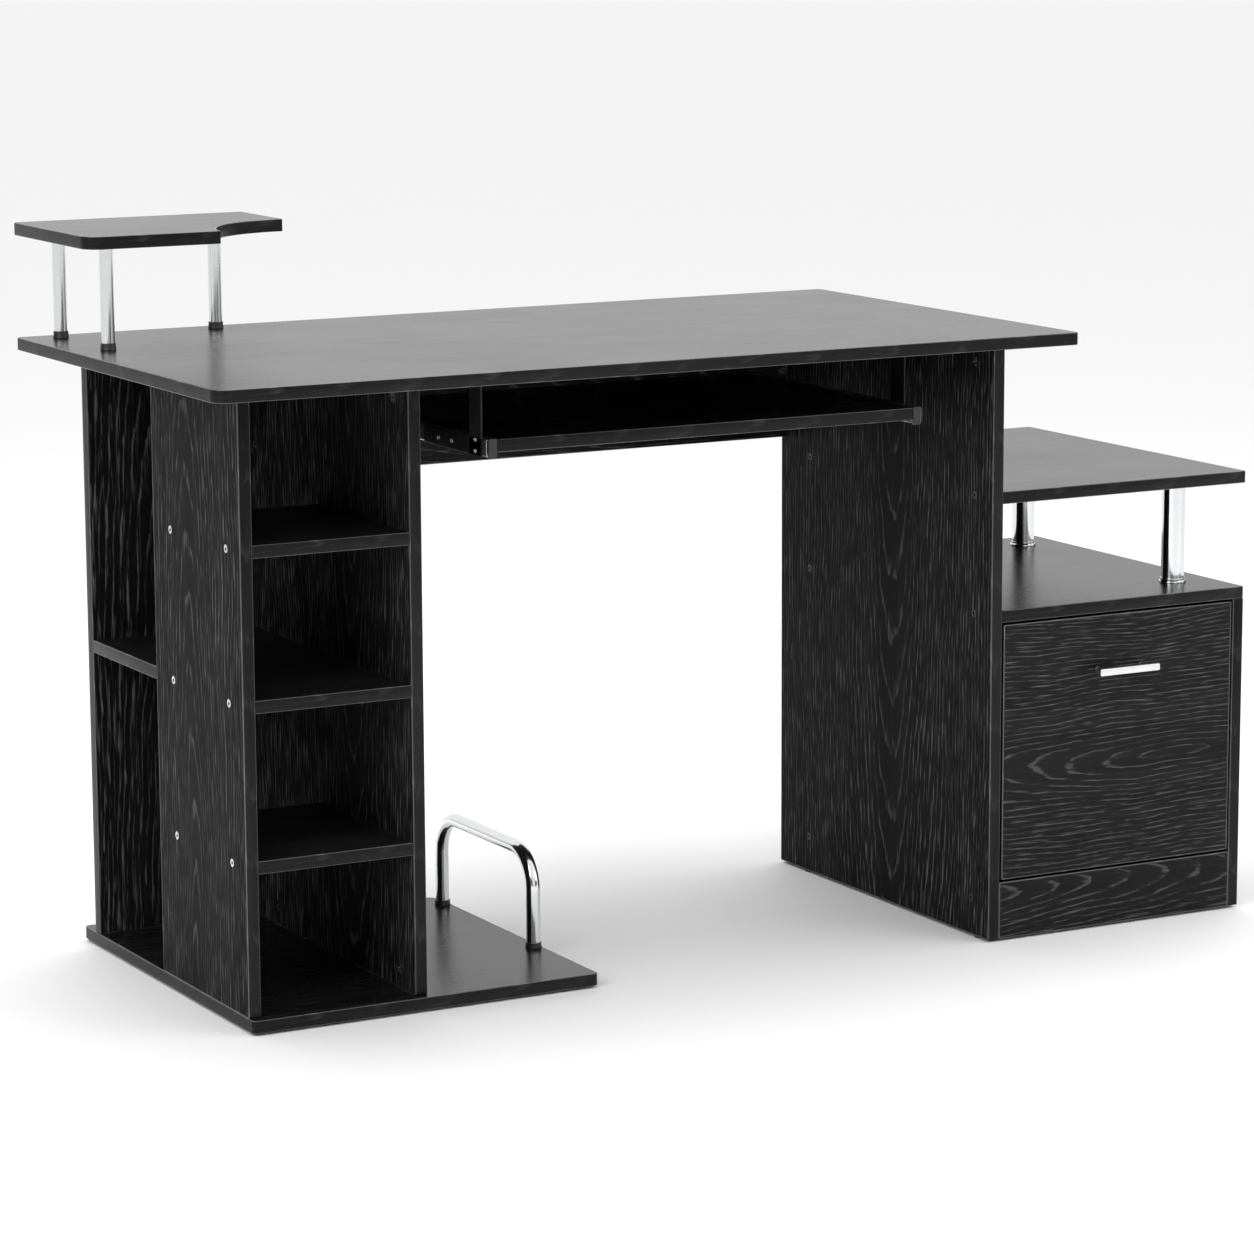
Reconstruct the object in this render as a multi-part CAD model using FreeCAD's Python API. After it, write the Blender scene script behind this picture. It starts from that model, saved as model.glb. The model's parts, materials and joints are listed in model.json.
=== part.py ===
"""Computer desk with a bookcase tower, a computer shelf, a keyboard tray and a drawer cabinet.

Sizes are in millimetres. +X runs to the right along the desk, +Y to the back and +Z up. The origin
is on the floor under the middle of the desk's footprint. Every node is one entry of NODES.
"""
import FreeCAD
import Part
import os

# Overall sizes: the desktop's left edge to the cabinet's right side, front to back, floor to top.
OVERALL_WIDTH = 1397.0
OVERALL_DEPTH = 603.0
OVERALL_HEIGHT = 885.0

# Boards and floor glides
BOARD = 15.0
EDGE_ROUND = 0.8
BACK_BOARD = 3.0
GLIDE_HEIGHT = 3.0
GLIDE_RADIUS = 9.0
GLIDE_INSET = 30.0
GLIDE_EDGE_MARGIN = 0.5

# Desktop
DESKTOP_OVERHANG_RIGHT = 78.5
DESKTOP_HEIGHT = 748.0
DESKTOP_CORNER = 20.0
SMALL_CORNER = 6.0

# Raised shelf for the screen, and its posts
RAISED_SHELF_WIDTH = 295.0
RAISED_SHELF_DEPTH = 236.0
RAISED_SHELF_END_DEPTH = 122.0
RAISED_SHELF_SCOOP = 130.0
POST_DIAMETER = 16.0
POST_COLLAR_WALL = 1.5
POST_COLLAR_HEIGHT = 8.0
POST_INSET_LEFT = 46.0
POST_INSET_BACK = 29.0
POST_SPACING_X = 200.0
POST_SPACING_Y = 150.0

# Bookcase tower and its base board
TOWER_OVERHANG_LEFT = 67.0
TOWER_WIDTH = 224.0
TOWER_DEPTH = 465.0
TOWER_SETBACK = 12.0
TOWER_LEFT_PANEL_DEPTH = 250.0
BASE_SETBACK = 89.0
BASE_WIDTH = 442.0
BASE_WING_DEPTH = 440.0
BASE_CORNER = 20.0
LOW_SHELF_TOP = 199.0
MIDDLE_SHELF_TOP = 383.0
TOP_SHELF_TOP = 559.0

# Bar that guards the computer on the base board
GUARD_BAR_DIAMETER = 17.0
GUARD_BAR_WALL = 1.5
GUARD_BAR_HEIGHT = 124.0
GUARD_BAR_BEND = 46.0
GUARD_BAR_FRONT = 148.0
GUARD_BAR_SPAN = 248.0
GUARD_BAR_EDGE_GAP = 10.0
GUARD_COLLAR_WALL = 1.5
GUARD_COLLAR_HEIGHT = 6.5

# Right leg panel, rear stretcher and cabinet
LEG_SETBACK = 42.0
LEG_DEPTH = 499.0
STRETCHER_HEIGHT = 165.0
CABINET_INNER_WIDTH = 343.5
CABINET_TOP_HEIGHT = 411.0
CABINET_DEPTH = 467.0
PLINTH_TOP = 74.0
BOTTOM_BOARD_TOP = 56.5
PRINTER_SHELF_TOP = 556.0
PRINTER_SHELF_DEPTH = 482.0
PRINTER_POST_DIAMETER = 29.0
PRINTER_FLANGE_WALL = 2.5
PRINTER_FLANGE_HEIGHT = 6.0
PRINTER_POST_INSET_RIGHT = 57.0
PRINTER_POST_INSET_FRONT = 72.0
PRINTER_POST_SPACING = 337.0

# Drawer
DRAWER_GAP = 3.0
DRAWER_REAR_SPACE = 49.0
DRAWER_BOX_HEIGHT = 210.0
DRAWER_BOX_WALL = 12.0
DRAWER_BOTTOM = 3.0
DRAWER_BOTTOM_RAISE = 10.0
DRAWER_BOX_RAISE = 20.0
HANDLE_LENGTH = 88.0
HANDLE_HEIGHT = 9.0
HANDLE_THICKNESS = 7.0
HANDLE_REACH = 26.0
HANDLE_SPACING = 64.0
HANDLE_DROP = 62.0
HANDLE_FOOT_DIAMETER = 8.0

# Keyboard tray
TRAY_WIDTH = 557.0
TRAY_DEPTH = 408.0
KEYBOARD_SPACE = 73.0
TRAY_SETBACK = 82.5
TRAY_HANGER_WIDTH = 30.0
TRAY_HANGER_ARM = 150.0
TRAY_HANGER_SHEET = 2.0
TRAY_HANGER_FLANGE = 24.0
TRAY_HANGER_SETBACKS = (12.0, 42.0)
TRAY_REAR_ARM = 200.0
HANGER_SCREWS_FROM_MIDDLE = (-5.0, 8.0)
HANGER_ARM_SCREWS = (75.0, 110.0)
REAR_ARM_SCREWS = (100.0, 160.0)

# Ball-bearing runners: three nested channels, shared by the tray and the drawer
RUNNER_THICKNESS = 12.7
RUNNER_SHEET = 1.0
RUNNER_BALL_GAP = 2.0
RUNNER_FIXED_DEPTH = 8.5
RUNNER_MIDDLE_FROM_FIXED = 2.8
RUNNER_MIDDLE_DEPTH = 7.2
RUNNER_MOVING_DEPTH = 7.5
TRAY_RUNNER_HEIGHT = 20.0
TRAY_RUNNER_REAR_GAP = 5.0
DRAWER_RUNNER_HEIGHT = 35.0
RUNNER_CAP = 3.0
RUNNER_CAP_PROUD = 1.0

# Fasteners
SCREW_HEAD_DIAMETER = 10.0
SCREW_HEAD_DEPTH = 1.5
SCREW_SHANK_DIAMETER = 5.0
SCREW_LENGTH = 50.0
SCREW_HEX = 4.0
SMALL_SCREW_HEAD_DIAMETER = 6.0
SMALL_SCREW_HEAD_HEIGHT = 1.2
CAM_DIAMETER = 15.0
CAM_DEPTH = 12.0
CAM_FROM_EDGE = 24.0
CAM_SLOT = 2.0
CAM_BOLT_DIAMETER = 6.0
CAM_BOLT_ENGAGEMENT = 10.0
SCREW_INSET = 40.0
SHELF_SCREW_INSET_REAR = 50.0
BACK_PANEL_SCREW_INSET = 90.0
CAM_INSET_REAR = 80.0

# Places that follow from the sizes above
LEFT = -OVERALL_WIDTH / 2
RIGHT = OVERALL_WIDTH / 2
FRONT = -OVERALL_DEPTH / 2
BACK = OVERALL_DEPTH / 2
DESKTOP_UNDERSIDE = DESKTOP_HEIGHT - BOARD
BOARD_FOOT = GLIDE_HEIGHT
BASE_TOP = BOARD_FOOT + BOARD
BASE_FRONT = FRONT + BASE_SETBACK
TOWER_LEFT = LEFT + TOWER_OVERHANG_LEFT
TOWER_RIGHT = TOWER_LEFT + TOWER_WIDTH
TOWER_FRONT = BASE_FRONT + TOWER_SETBACK
TOWER_BACK = TOWER_FRONT + TOWER_DEPTH
LEFT_PANEL_BACK = TOWER_FRONT + TOWER_LEFT_PANEL_DEPTH
BASE_RIGHT = TOWER_LEFT + BASE_WIDTH
CABINET_RIGHT_INNER = RIGHT - BOARD
LEG_RIGHT = CABINET_RIGHT_INNER - CABINET_INNER_WIDTH
LEG_LEFT = LEG_RIGHT - BOARD
LEG_FRONT = FRONT + LEG_SETBACK
LEG_BACK = LEG_FRONT + LEG_DEPTH
DESKTOP_RIGHT = LEG_RIGHT + DESKTOP_OVERHANG_RIGHT
CABINET_BACK = LEG_FRONT + CABINET_DEPTH
CABINET_TOP_UNDERSIDE = CABINET_TOP_HEIGHT - BOARD
PRINTER_SHELF_UNDERSIDE = PRINTER_SHELF_TOP - BOARD
POST_COLLAR_DIAMETER = POST_DIAMETER + 2 * POST_COLLAR_WALL
GUARD_COLLAR_DIAMETER = GUARD_BAR_DIAMETER + 2 * GUARD_COLLAR_WALL
PRINTER_FLANGE_DIAMETER = PRINTER_POST_DIAMETER + 2 * PRINTER_FLANGE_WALL
TRAY_LEFT = (TOWER_RIGHT + LEG_LEFT - TRAY_WIDTH) / 2
TRAY_RIGHT = TRAY_LEFT + TRAY_WIDTH
TRAY_FRONT = FRONT + TRAY_SETBACK
TRAY_BACK = TRAY_FRONT + TRAY_DEPTH
TRAY_TOP = DESKTOP_UNDERSIDE - KEYBOARD_SPACE
TRAY_UNDERSIDE = TRAY_TOP - BOARD
TRAY_RUNNER_LENGTH = TRAY_DEPTH - RUNNER_CAP - TRAY_RUNNER_REAR_GAP
TRAY_RUNNER_MIDDLE = TRAY_TOP - TRAY_RUNNER_HEIGHT / 2
STRETCHER_FRONT = LEG_BACK - BOARD
DRAWER_BOX_LEFT = LEG_RIGHT + RUNNER_THICKNESS
DRAWER_BOX_RIGHT = CABINET_RIGHT_INNER - RUNNER_THICKNESS
DRAWER_BOX_FRONT = LEG_FRONT + BOARD
DRAWER_BOX_BACK = CABINET_BACK - BACK_BOARD - DRAWER_REAR_SPACE
DRAWER_BOX_FOOT = PLINTH_TOP + DRAWER_BOX_RAISE
DRAWER_BOX_TOP = DRAWER_BOX_FOOT + DRAWER_BOX_HEIGHT
DRAWER_RUNNER_FRONT = DRAWER_BOX_FRONT + RUNNER_CAP
DRAWER_RUNNER_MIDDLE = DRAWER_BOX_FOOT + DRAWER_BOX_HEIGHT / 2
DRAWER_FRONT_TOP = CABINET_TOP_UNDERSIDE - DRAWER_GAP

X_AXIS = FreeCAD.Vector(1, 0, 0)
Y_AXIS = FreeCAD.Vector(0, 1, 0)
Z_AXIS = FreeCAD.Vector(0, 0, 1)

NODES = {}


def box(x, y, z):
    """Plain block between pairs of (low, high) coordinates."""
    corner = FreeCAD.Vector(x[0], y[0], z[0])
    return Part.makeBox(x[1] - x[0], y[1] - y[0], z[1] - z[0], corner)


def rod(diameter, start, axis, length):
    """Solid round bar from start along axis."""
    return Part.makeCylinder(diameter / 2, length, start, axis)


def soften(solid, radius=EDGE_ROUND):
    """Break every edge with a small round."""
    return solid.makeFillet(radius, solid.Edges)


def board(x, y, z):
    """Rectangular board with softened edges."""
    return soften(box(x, y, z))


def cut_all(solid, tools):
    """Cut every tool from the solid."""
    for tool in tools:
        solid = solid.cut(tool)
    return solid


def arc_through(start, middle, end):
    """Arc edge through three points."""
    return Part.Arc(start, middle, end).toShape()


def corner_arc(centre, radius, start_angle, end_angle, z):
    """Horizontal arc about centre, with its ends at two angles in degrees."""
    points = []
    for angle in (start_angle, (start_angle + end_angle) / 2, end_angle):
        turn = FreeCAD.Rotation(Z_AXIS, angle)
        points.append(turn.multVec(X_AXIS * radius) + FreeCAD.Vector(centre[0], centre[1], z))
    return arc_through(*points)


def outline_board(edges, thickness):
    """Board whose outline is the given arcs, joined in order by straight lines."""
    outline = []
    for index, edge in enumerate(edges):
        following = edges[(index + 1) % len(edges)]
        outline.append(edge)
        end = edge.lastVertex().Point
        start = following.firstVertex().Point
        if end.distanceToPoint(start) > 1e-6:
            outline.append(Part.makeLine(end, start))
    face = Part.Face(Part.Wire(outline))
    solid = face.extrude(Z_AXIS * thickness)
    rims = [edge for edge in solid.Edges if abs(edge.tangentAt(edge.FirstParameter).z) < 0.5]
    return solid.makeFillet(EDGE_ROUND, rims)


def rounded_board(x, y, z, radii):
    """Board with a radius at each corner: front left, front right, back right, back left."""
    front_left, front_right, back_right, back_left = radii
    low, high = z
    edges = [
        corner_arc((x[0] + front_left, y[0] + front_left), front_left, 180, 270, low),
        corner_arc((x[1] - front_right, y[0] + front_right), front_right, 270, 360, low),
        corner_arc((x[1] - back_right, y[1] - back_right), back_right, 0, 90, low),
        corner_arc((x[0] + back_left, y[1] - back_left), back_left, 90, 180, low),
    ]
    return outline_board(edges, high - low)


def panel_screw(head, axis):
    """Screw with a sunk hexagon-socket head: head is on its outer face, and axis points to its tip."""
    solid = rod(SCREW_HEAD_DIAMETER, head, axis, SCREW_HEAD_DEPTH)
    solid = solid.fuse(rod(SCREW_SHANK_DIAMETER, head, axis, SCREW_LENGTH))
    corners = []
    across = FreeCAD.Vector(axis.z, axis.x, axis.y)
    for step in range(7):
        turn = FreeCAD.Rotation(axis, 60 * step)
        corners.append(head + turn.multVec(across) * SCREW_HEX / 2)
    socket = Part.Face(Part.makePolygon(corners)).extrude(axis * (2 * SCREW_HEAD_DEPTH))
    return solid.cut(socket)


def panel_screw_hole(head, axis):
    """Space that a panel screw fills."""
    hole = rod(SCREW_HEAD_DIAMETER, head, axis, SCREW_HEAD_DEPTH)
    return hole.fuse(rod(SCREW_SHANK_DIAMETER, head, axis, SCREW_LENGTH))


def cam_lock(centre, axis):
    """Cam disc sunk in a face: centre is on the face, and axis points into the board."""
    disc = rod(CAM_DIAMETER, centre, axis, CAM_DEPTH)
    across = FreeCAD.Vector(axis.y, axis.z, axis.x)
    other = axis.cross(across)
    reach = CAM_DIAMETER / 3
    for along, beside in ((across, other), (other, across)):
        start = centre - along * reach - beside * CAM_SLOT / 2
        ends = [start, start + along * 2 * reach]
        ends += [ends[1] + beside * CAM_SLOT, start + beside * CAM_SLOT]
        slot = Part.Face(Part.makePolygon(ends + [start])).extrude(axis * CAM_SLOT)
        disc = disc.cut(slot)
    return disc


def cam_bolt(centre, axis, towards):
    """Bolt that a cam pulls on: from inside the cam, through the board's edge, into the next board."""
    start = centre + axis * CAM_DEPTH / 2 + towards * CAM_DIAMETER / 4
    length = CAM_FROM_EDGE - CAM_DIAMETER / 4 + CAM_BOLT_ENGAGEMENT
    return rod(CAM_BOLT_DIAMETER, start, towards, length)


def small_screw(seat, axis):
    """Low round screw head that stands on seat, with axis pointing out of the surface."""
    return rod(SMALL_SCREW_HEAD_DIAMETER, seat, axis, SMALL_SCREW_HEAD_HEIGHT)


def channel(web, lip, y, middle, half_height):
    """Sheet channel along Y: web is its (face, back) along X, and lip is where its lips end."""
    outer = box(tuple(sorted((web[0], lip))), y, (middle - half_height, middle + half_height))
    hollow_height = half_height - RUNNER_SHEET
    hollow = box(tuple(sorted((web[1], lip))), y, (middle - hollow_height, middle + hollow_height))
    return outer.cut(hollow)


def runner(name, support, side, front, length, middle, height):
    """Three nested channels: support is the fixed face's X, and side points to the moving part."""
    y = (front, front + length)
    half = height / 2

    def at(distance):
        """X at a distance from the fixed face."""
        return support + side * distance

    middle_half = half - RUNNER_SHEET - RUNNER_BALL_GAP
    inner_half = middle_half - RUNNER_SHEET - RUNNER_BALL_GAP / 2
    fixed_web = (at(0), at(RUNNER_SHEET))
    NODES[name + "_fixed_member"] = channel(fixed_web, at(RUNNER_FIXED_DEPTH), y, middle, half)
    middle_web = (at(RUNNER_MIDDLE_FROM_FIXED), at(RUNNER_MIDDLE_FROM_FIXED + RUNNER_SHEET))
    middle_lip = at(RUNNER_MIDDLE_FROM_FIXED + RUNNER_MIDDLE_DEPTH)
    NODES[name + "_middle_member"] = channel(middle_web, middle_lip, y, middle, middle_half)
    moving_web = (at(RUNNER_THICKNESS), at(RUNNER_THICKNESS - RUNNER_SHEET))
    moving_lip = at(RUNNER_THICKNESS - RUNNER_MOVING_DEPTH)
    NODES[name + "_moving_member"] = channel(moving_web, moving_lip, y, middle, inner_half)


def make_desktop():
    """Rectangular desktop with one clearly rounded corner, at the front left."""
    x = (LEFT, DESKTOP_RIGHT)
    radii = (DESKTOP_CORNER, SMALL_CORNER, SMALL_CORNER, SMALL_CORNER)
    NODES["desktop"] = rounded_board(x, (FRONT, BACK), (DESKTOP_UNDERSIDE, DESKTOP_HEIGHT), radii)


def make_raised_shelf():
    """Shelf above the desktop's back left corner, scooped to a shallower right end, on three posts."""
    underside = OVERALL_HEIGHT - BOARD
    right = LEFT + RAISED_SHELF_WIDTH
    front = BACK - RAISED_SHELF_DEPTH
    end_front = BACK - RAISED_SHELF_END_DEPTH
    scoop_centre = FreeCAD.Vector(right, end_front - RAISED_SHELF_SCOOP, underside)
    drop = front - scoop_centre.y
    scoop_left = right - (RAISED_SHELF_SCOOP ** 2 - drop ** 2) ** 0.5
    scoop_start = FreeCAD.Vector(scoop_left, front, underside)
    scoop_end = FreeCAD.Vector(right, end_front, underside)
    halfway = ((scoop_start - scoop_centre) + (scoop_end - scoop_centre)).normalize()
    scoop = arc_through(scoop_start, scoop_centre + halfway * RAISED_SHELF_SCOOP, scoop_end)
    front_left = (LEFT + DESKTOP_CORNER, front + DESKTOP_CORNER)
    back_right = (right - SMALL_CORNER, BACK - SMALL_CORNER)
    back_left = (LEFT + SMALL_CORNER, BACK - SMALL_CORNER)
    edges = [
        corner_arc(front_left, DESKTOP_CORNER, 180, 270, underside),
        scoop,
        corner_arc(back_right, SMALL_CORNER, 0, 90, underside),
        corner_arc(back_left, SMALL_CORNER, 90, 180, underside),
    ]
    NODES["raised_shelf"] = outline_board(edges, BOARD)

    rear_y = BACK - POST_INSET_BACK
    left_x = LEFT + POST_INSET_LEFT
    posts = {
        "rear_left": (left_x, rear_y),
        "front_left": (left_x, rear_y - POST_SPACING_Y),
        "right": (left_x + POST_SPACING_X, rear_y),
    }
    collars = []
    for place, (x, y) in posts.items():
        foot = FreeCAD.Vector(x, y, DESKTOP_HEIGHT)
        post = rod(POST_DIAMETER, foot, Z_AXIS, underside - DESKTOP_HEIGHT)
        NODES["raised_shelf_post_" + place] = post
        collar = soften(rod(POST_COLLAR_DIAMETER, foot, Z_AXIS, POST_COLLAR_HEIGHT))
        collars.append(collar.cut(post))
    NODES["raised_shelf_post_collars"] = Part.makeCompound(collars)


def make_base_board():
    """Board under the tower that runs on to the right, less deep there, to carry a computer."""
    wing_back = BASE_FRONT + BASE_WING_DEPTH
    corners = [
        (TOWER_LEFT + SMALL_CORNER, BASE_FRONT + SMALL_CORNER, SMALL_CORNER, 180, 270),
        (BASE_RIGHT - SMALL_CORNER, BASE_FRONT + SMALL_CORNER, SMALL_CORNER, 270, 360),
        (BASE_RIGHT - BASE_CORNER, wing_back - BASE_CORNER, BASE_CORNER, 0, 90),
        (TOWER_RIGHT + BASE_CORNER, wing_back + BASE_CORNER, BASE_CORNER, 270, 180),
        (TOWER_RIGHT - SMALL_CORNER, BACK - SMALL_CORNER, SMALL_CORNER, 0, 90),
        (TOWER_LEFT + SMALL_CORNER, BACK - SMALL_CORNER, SMALL_CORNER, 90, 180),
    ]
    edges = [corner_arc((x, y), radius, start, end, BOARD_FOOT) for x, y, radius, start, end in corners]
    NODES["base_board"] = outline_board(edges, BOARD)


def make_tower():
    """Side panels, back panel and three shelves between the base board and the desktop."""
    upright = (BASE_TOP, DESKTOP_UNDERSIDE)
    left_inner = TOWER_LEFT + BOARD
    right_inner = TOWER_RIGHT - BOARD
    back_panel_front = TOWER_BACK - BOARD
    left_depth = (TOWER_FRONT, LEFT_PANEL_BACK)
    NODES["tower_left_panel"] = board((TOWER_LEFT, left_inner), left_depth, upright)
    NODES["tower_right_panel"] = board((right_inner, TOWER_RIGHT), (TOWER_FRONT, TOWER_BACK), upright)
    back_depth = (back_panel_front, TOWER_BACK)
    NODES["tower_back_panel"] = board((TOWER_LEFT, right_inner), back_depth, upright)
    for name, top in (("tower_top_shelf", TOP_SHELF_TOP), ("tower_low_shelf", LOW_SHELF_TOP)):
        NODES[name] = board((left_inner, right_inner), left_depth, (top - BOARD, top))
    level = (MIDDLE_SHELF_TOP - BOARD, MIDDLE_SHELF_TOP)
    front_part = box((left_inner, right_inner), (TOWER_FRONT, back_panel_front), level)
    rear_part = box((TOWER_LEFT, right_inner), (LEFT_PANEL_BACK, back_panel_front), level)
    shelf = front_part.fuse(rear_part).removeSplitter()
    NODES["tower_middle_shelf"] = soften(shelf)


def make_guard_bar():
    """Bent tube that stands on the base board's right edge, with a collar on each foot."""
    x = BASE_RIGHT - GUARD_BAR_EDGE_GAP
    front = BASE_FRONT + GUARD_BAR_FRONT
    rear = front + GUARD_BAR_SPAN
    top = BASE_TOP + GUARD_BAR_HEIGHT - GUARD_BAR_DIAMETER / 2
    bend = GUARD_BAR_BEND
    corner = bend * 0.5 ** 0.5

    def at(y, z):
        """Point in the bar's plane."""
        return FreeCAD.Vector(x, y, z)

    def bend_arc(foot_y, inward):
        """Quarter bend above a foot, where inward is the way along Y to the other foot."""
        start = at(foot_y, top - bend)
        middle = at(foot_y + inward * (bend - corner), top - bend + corner)
        return arc_through(start, middle, at(foot_y + inward * bend, top))

    path = Part.Wire([
        Part.makeLine(at(front, BASE_TOP), at(front, top - bend)),
        bend_arc(front, 1),
        Part.makeLine(at(front + bend, top), at(rear - bend, top)),
        bend_arc(rear, -1),
        Part.makeLine(at(rear, top - bend), at(rear, BASE_TOP)),
    ])
    tubes = []
    for radius in (GUARD_BAR_DIAMETER / 2, GUARD_BAR_DIAMETER / 2 - GUARD_BAR_WALL):
        ring = Part.Wire([Part.makeCircle(radius, at(front, BASE_TOP), Z_AXIS)])
        tubes.append(path.makePipeShell([ring], True, False))
    NODES["guard_bar"] = tubes[0].cut(tubes[1])
    collars = []
    for y in (front, rear):
        foot = at(y, BASE_TOP)
        collar = soften(rod(GUARD_COLLAR_DIAMETER, foot, Z_AXIS, GUARD_COLLAR_HEIGHT))
        collars.append(collar.cut(rod(GUARD_BAR_DIAMETER, foot, Z_AXIS, GUARD_COLLAR_HEIGHT)))
    NODES["guard_bar_collars"] = Part.makeCompound(collars)


def make_leg_and_stretcher():
    """Full-height leg panel on the right, and the rear board that ties it to the tower."""
    upright = (BOARD_FOOT, DESKTOP_UNDERSIDE)
    NODES["right_leg_panel"] = board((LEG_LEFT, LEG_RIGHT), (LEG_FRONT, LEG_BACK), upright)
    height = (DESKTOP_UNDERSIDE - STRETCHER_HEIGHT, DESKTOP_UNDERSIDE)
    NODES["rear_stretcher"] = board((TOWER_RIGHT, LEG_LEFT), (STRETCHER_FRONT, LEG_BACK), height)


def make_cabinet():
    """Cabinet to the right of the leg panel, which is its left side."""
    inside = (LEG_RIGHT, CABINET_RIGHT_INNER)
    depth = (LEG_FRONT, CABINET_BACK)
    top_level = (CABINET_TOP_UNDERSIDE, CABINET_TOP_HEIGHT)
    NODES["cabinet_top"] = board((LEG_RIGHT, RIGHT), depth, top_level)
    side_height = (BOARD_FOOT, CABINET_TOP_UNDERSIDE)
    NODES["cabinet_right_panel"] = board((CABINET_RIGHT_INNER, RIGHT), depth, side_height)
    plinth_depth = (LEG_FRONT, LEG_FRONT + BOARD)
    NODES["cabinet_plinth"] = board(inside, plinth_depth, (BOARD_FOOT, PLINTH_TOP))
    inner_back = CABINET_BACK - BACK_BOARD
    bottom_depth = (LEG_FRONT + BOARD, inner_back)
    bottom_level = (BOTTOM_BOARD_TOP - BOARD, BOTTOM_BOARD_TOP)
    NODES["cabinet_bottom"] = board(inside, bottom_depth, bottom_level)
    back_height = (BOTTOM_BOARD_TOP - BOARD, CABINET_TOP_UNDERSIDE)
    NODES["cabinet_back"] = box(inside, (inner_back, CABINET_BACK), back_height)


def make_printer_shelf():
    """Upper shelf beside the desktop, held by the leg panel and two posts on the cabinet."""
    depth = (LEG_FRONT, LEG_FRONT + PRINTER_SHELF_DEPTH)
    level = (PRINTER_SHELF_UNDERSIDE, PRINTER_SHELF_TOP)
    NODES["printer_shelf"] = board((LEG_RIGHT, RIGHT), depth, level)
    x = RIGHT - PRINTER_POST_INSET_RIGHT
    front = LEG_FRONT + PRINTER_POST_INSET_FRONT
    flanges = []
    for place, y in (("front", front), ("rear", front + PRINTER_POST_SPACING)):
        foot = FreeCAD.Vector(x, y, CABINET_TOP_HEIGHT)
        post = rod(PRINTER_POST_DIAMETER, foot, Z_AXIS, PRINTER_SHELF_UNDERSIDE - CABINET_TOP_HEIGHT)
        NODES["printer_shelf_post_" + place] = post
        for height in (CABINET_TOP_HEIGHT, PRINTER_SHELF_UNDERSIDE - PRINTER_FLANGE_HEIGHT):
            seat = FreeCAD.Vector(x, y, height)
            flange = rod(PRINTER_FLANGE_DIAMETER, seat, Z_AXIS, PRINTER_FLANGE_HEIGHT)
            flanges.append(soften(flange).cut(post))
    NODES["printer_shelf_post_flanges"] = Part.makeCompound(flanges)


def make_drawer():
    """Drawer box with an inset front and a bar handle."""
    front_width = (LEG_RIGHT + DRAWER_GAP, CABINET_RIGHT_INNER - DRAWER_GAP)
    front_height = (PLINTH_TOP + DRAWER_GAP, DRAWER_FRONT_TOP)
    NODES["drawer_front"] = board(front_width, (LEG_FRONT, DRAWER_BOX_FRONT), front_height)
    height = (DRAWER_BOX_FOOT, DRAWER_BOX_TOP)
    depth = (DRAWER_BOX_FRONT, DRAWER_BOX_BACK)
    inner_left = DRAWER_BOX_LEFT + DRAWER_BOX_WALL
    inner_right = DRAWER_BOX_RIGHT - DRAWER_BOX_WALL
    bottom_level = DRAWER_BOX_FOOT + DRAWER_BOTTOM_RAISE
    groove = DRAWER_BOX_WALL / 2
    bottom_width = (inner_left - groove, inner_right + groove)
    bottom_depth = (DRAWER_BOX_FRONT, DRAWER_BOX_BACK - groove)
    bottom = box(bottom_width, bottom_depth, (bottom_level, bottom_level + DRAWER_BOTTOM))
    rear_depth = (DRAWER_BOX_BACK - DRAWER_BOX_WALL, DRAWER_BOX_BACK)
    walls = {
        "drawer_left_side": box((DRAWER_BOX_LEFT, inner_left), depth, height),
        "drawer_right_side": box((inner_right, DRAWER_BOX_RIGHT), depth, height),
        "drawer_rear_wall": box((inner_left, inner_right), rear_depth, height),
    }
    for name, wall in walls.items():
        NODES[name] = wall.cut(bottom)
    NODES["drawer_bottom"] = bottom

    middle = (LEG_RIGHT + CABINET_RIGHT_INNER) / 2
    handle_top = DRAWER_FRONT_TOP - HANDLE_DROP
    bar_back = LEG_FRONT - HANDLE_REACH + HANDLE_THICKNESS
    bar_width = (middle - HANDLE_LENGTH / 2, middle + HANDLE_LENGTH / 2)
    bar_depth = (LEG_FRONT - HANDLE_REACH, bar_back)
    NODES["drawer_handle"] = board(bar_width, bar_depth, (handle_top - HANDLE_HEIGHT, handle_top))
    feet = []
    for side in (-1, 1):
        seat = FreeCAD.Vector(middle + side * HANDLE_SPACING / 2, bar_back, handle_top - HANDLE_HEIGHT / 2)
        feet.append(rod(HANDLE_FOOT_DIAMETER, seat, Y_AXIS, LEG_FRONT - bar_back))
    NODES["drawer_handle_feet"] = Part.makeCompound(feet)


def make_drawer_runners():
    """Runner on each side of the drawer box."""
    for place, support, side in (("left", LEG_RIGHT, 1), ("right", CABINET_RIGHT_INNER, -1)):
        runner("drawer_runner_" + place, support, side, DRAWER_RUNNER_FRONT,
               DRAWER_BOX_BACK - DRAWER_RUNNER_FRONT, DRAWER_RUNNER_MIDDLE, DRAWER_RUNNER_HEIGHT)


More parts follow.
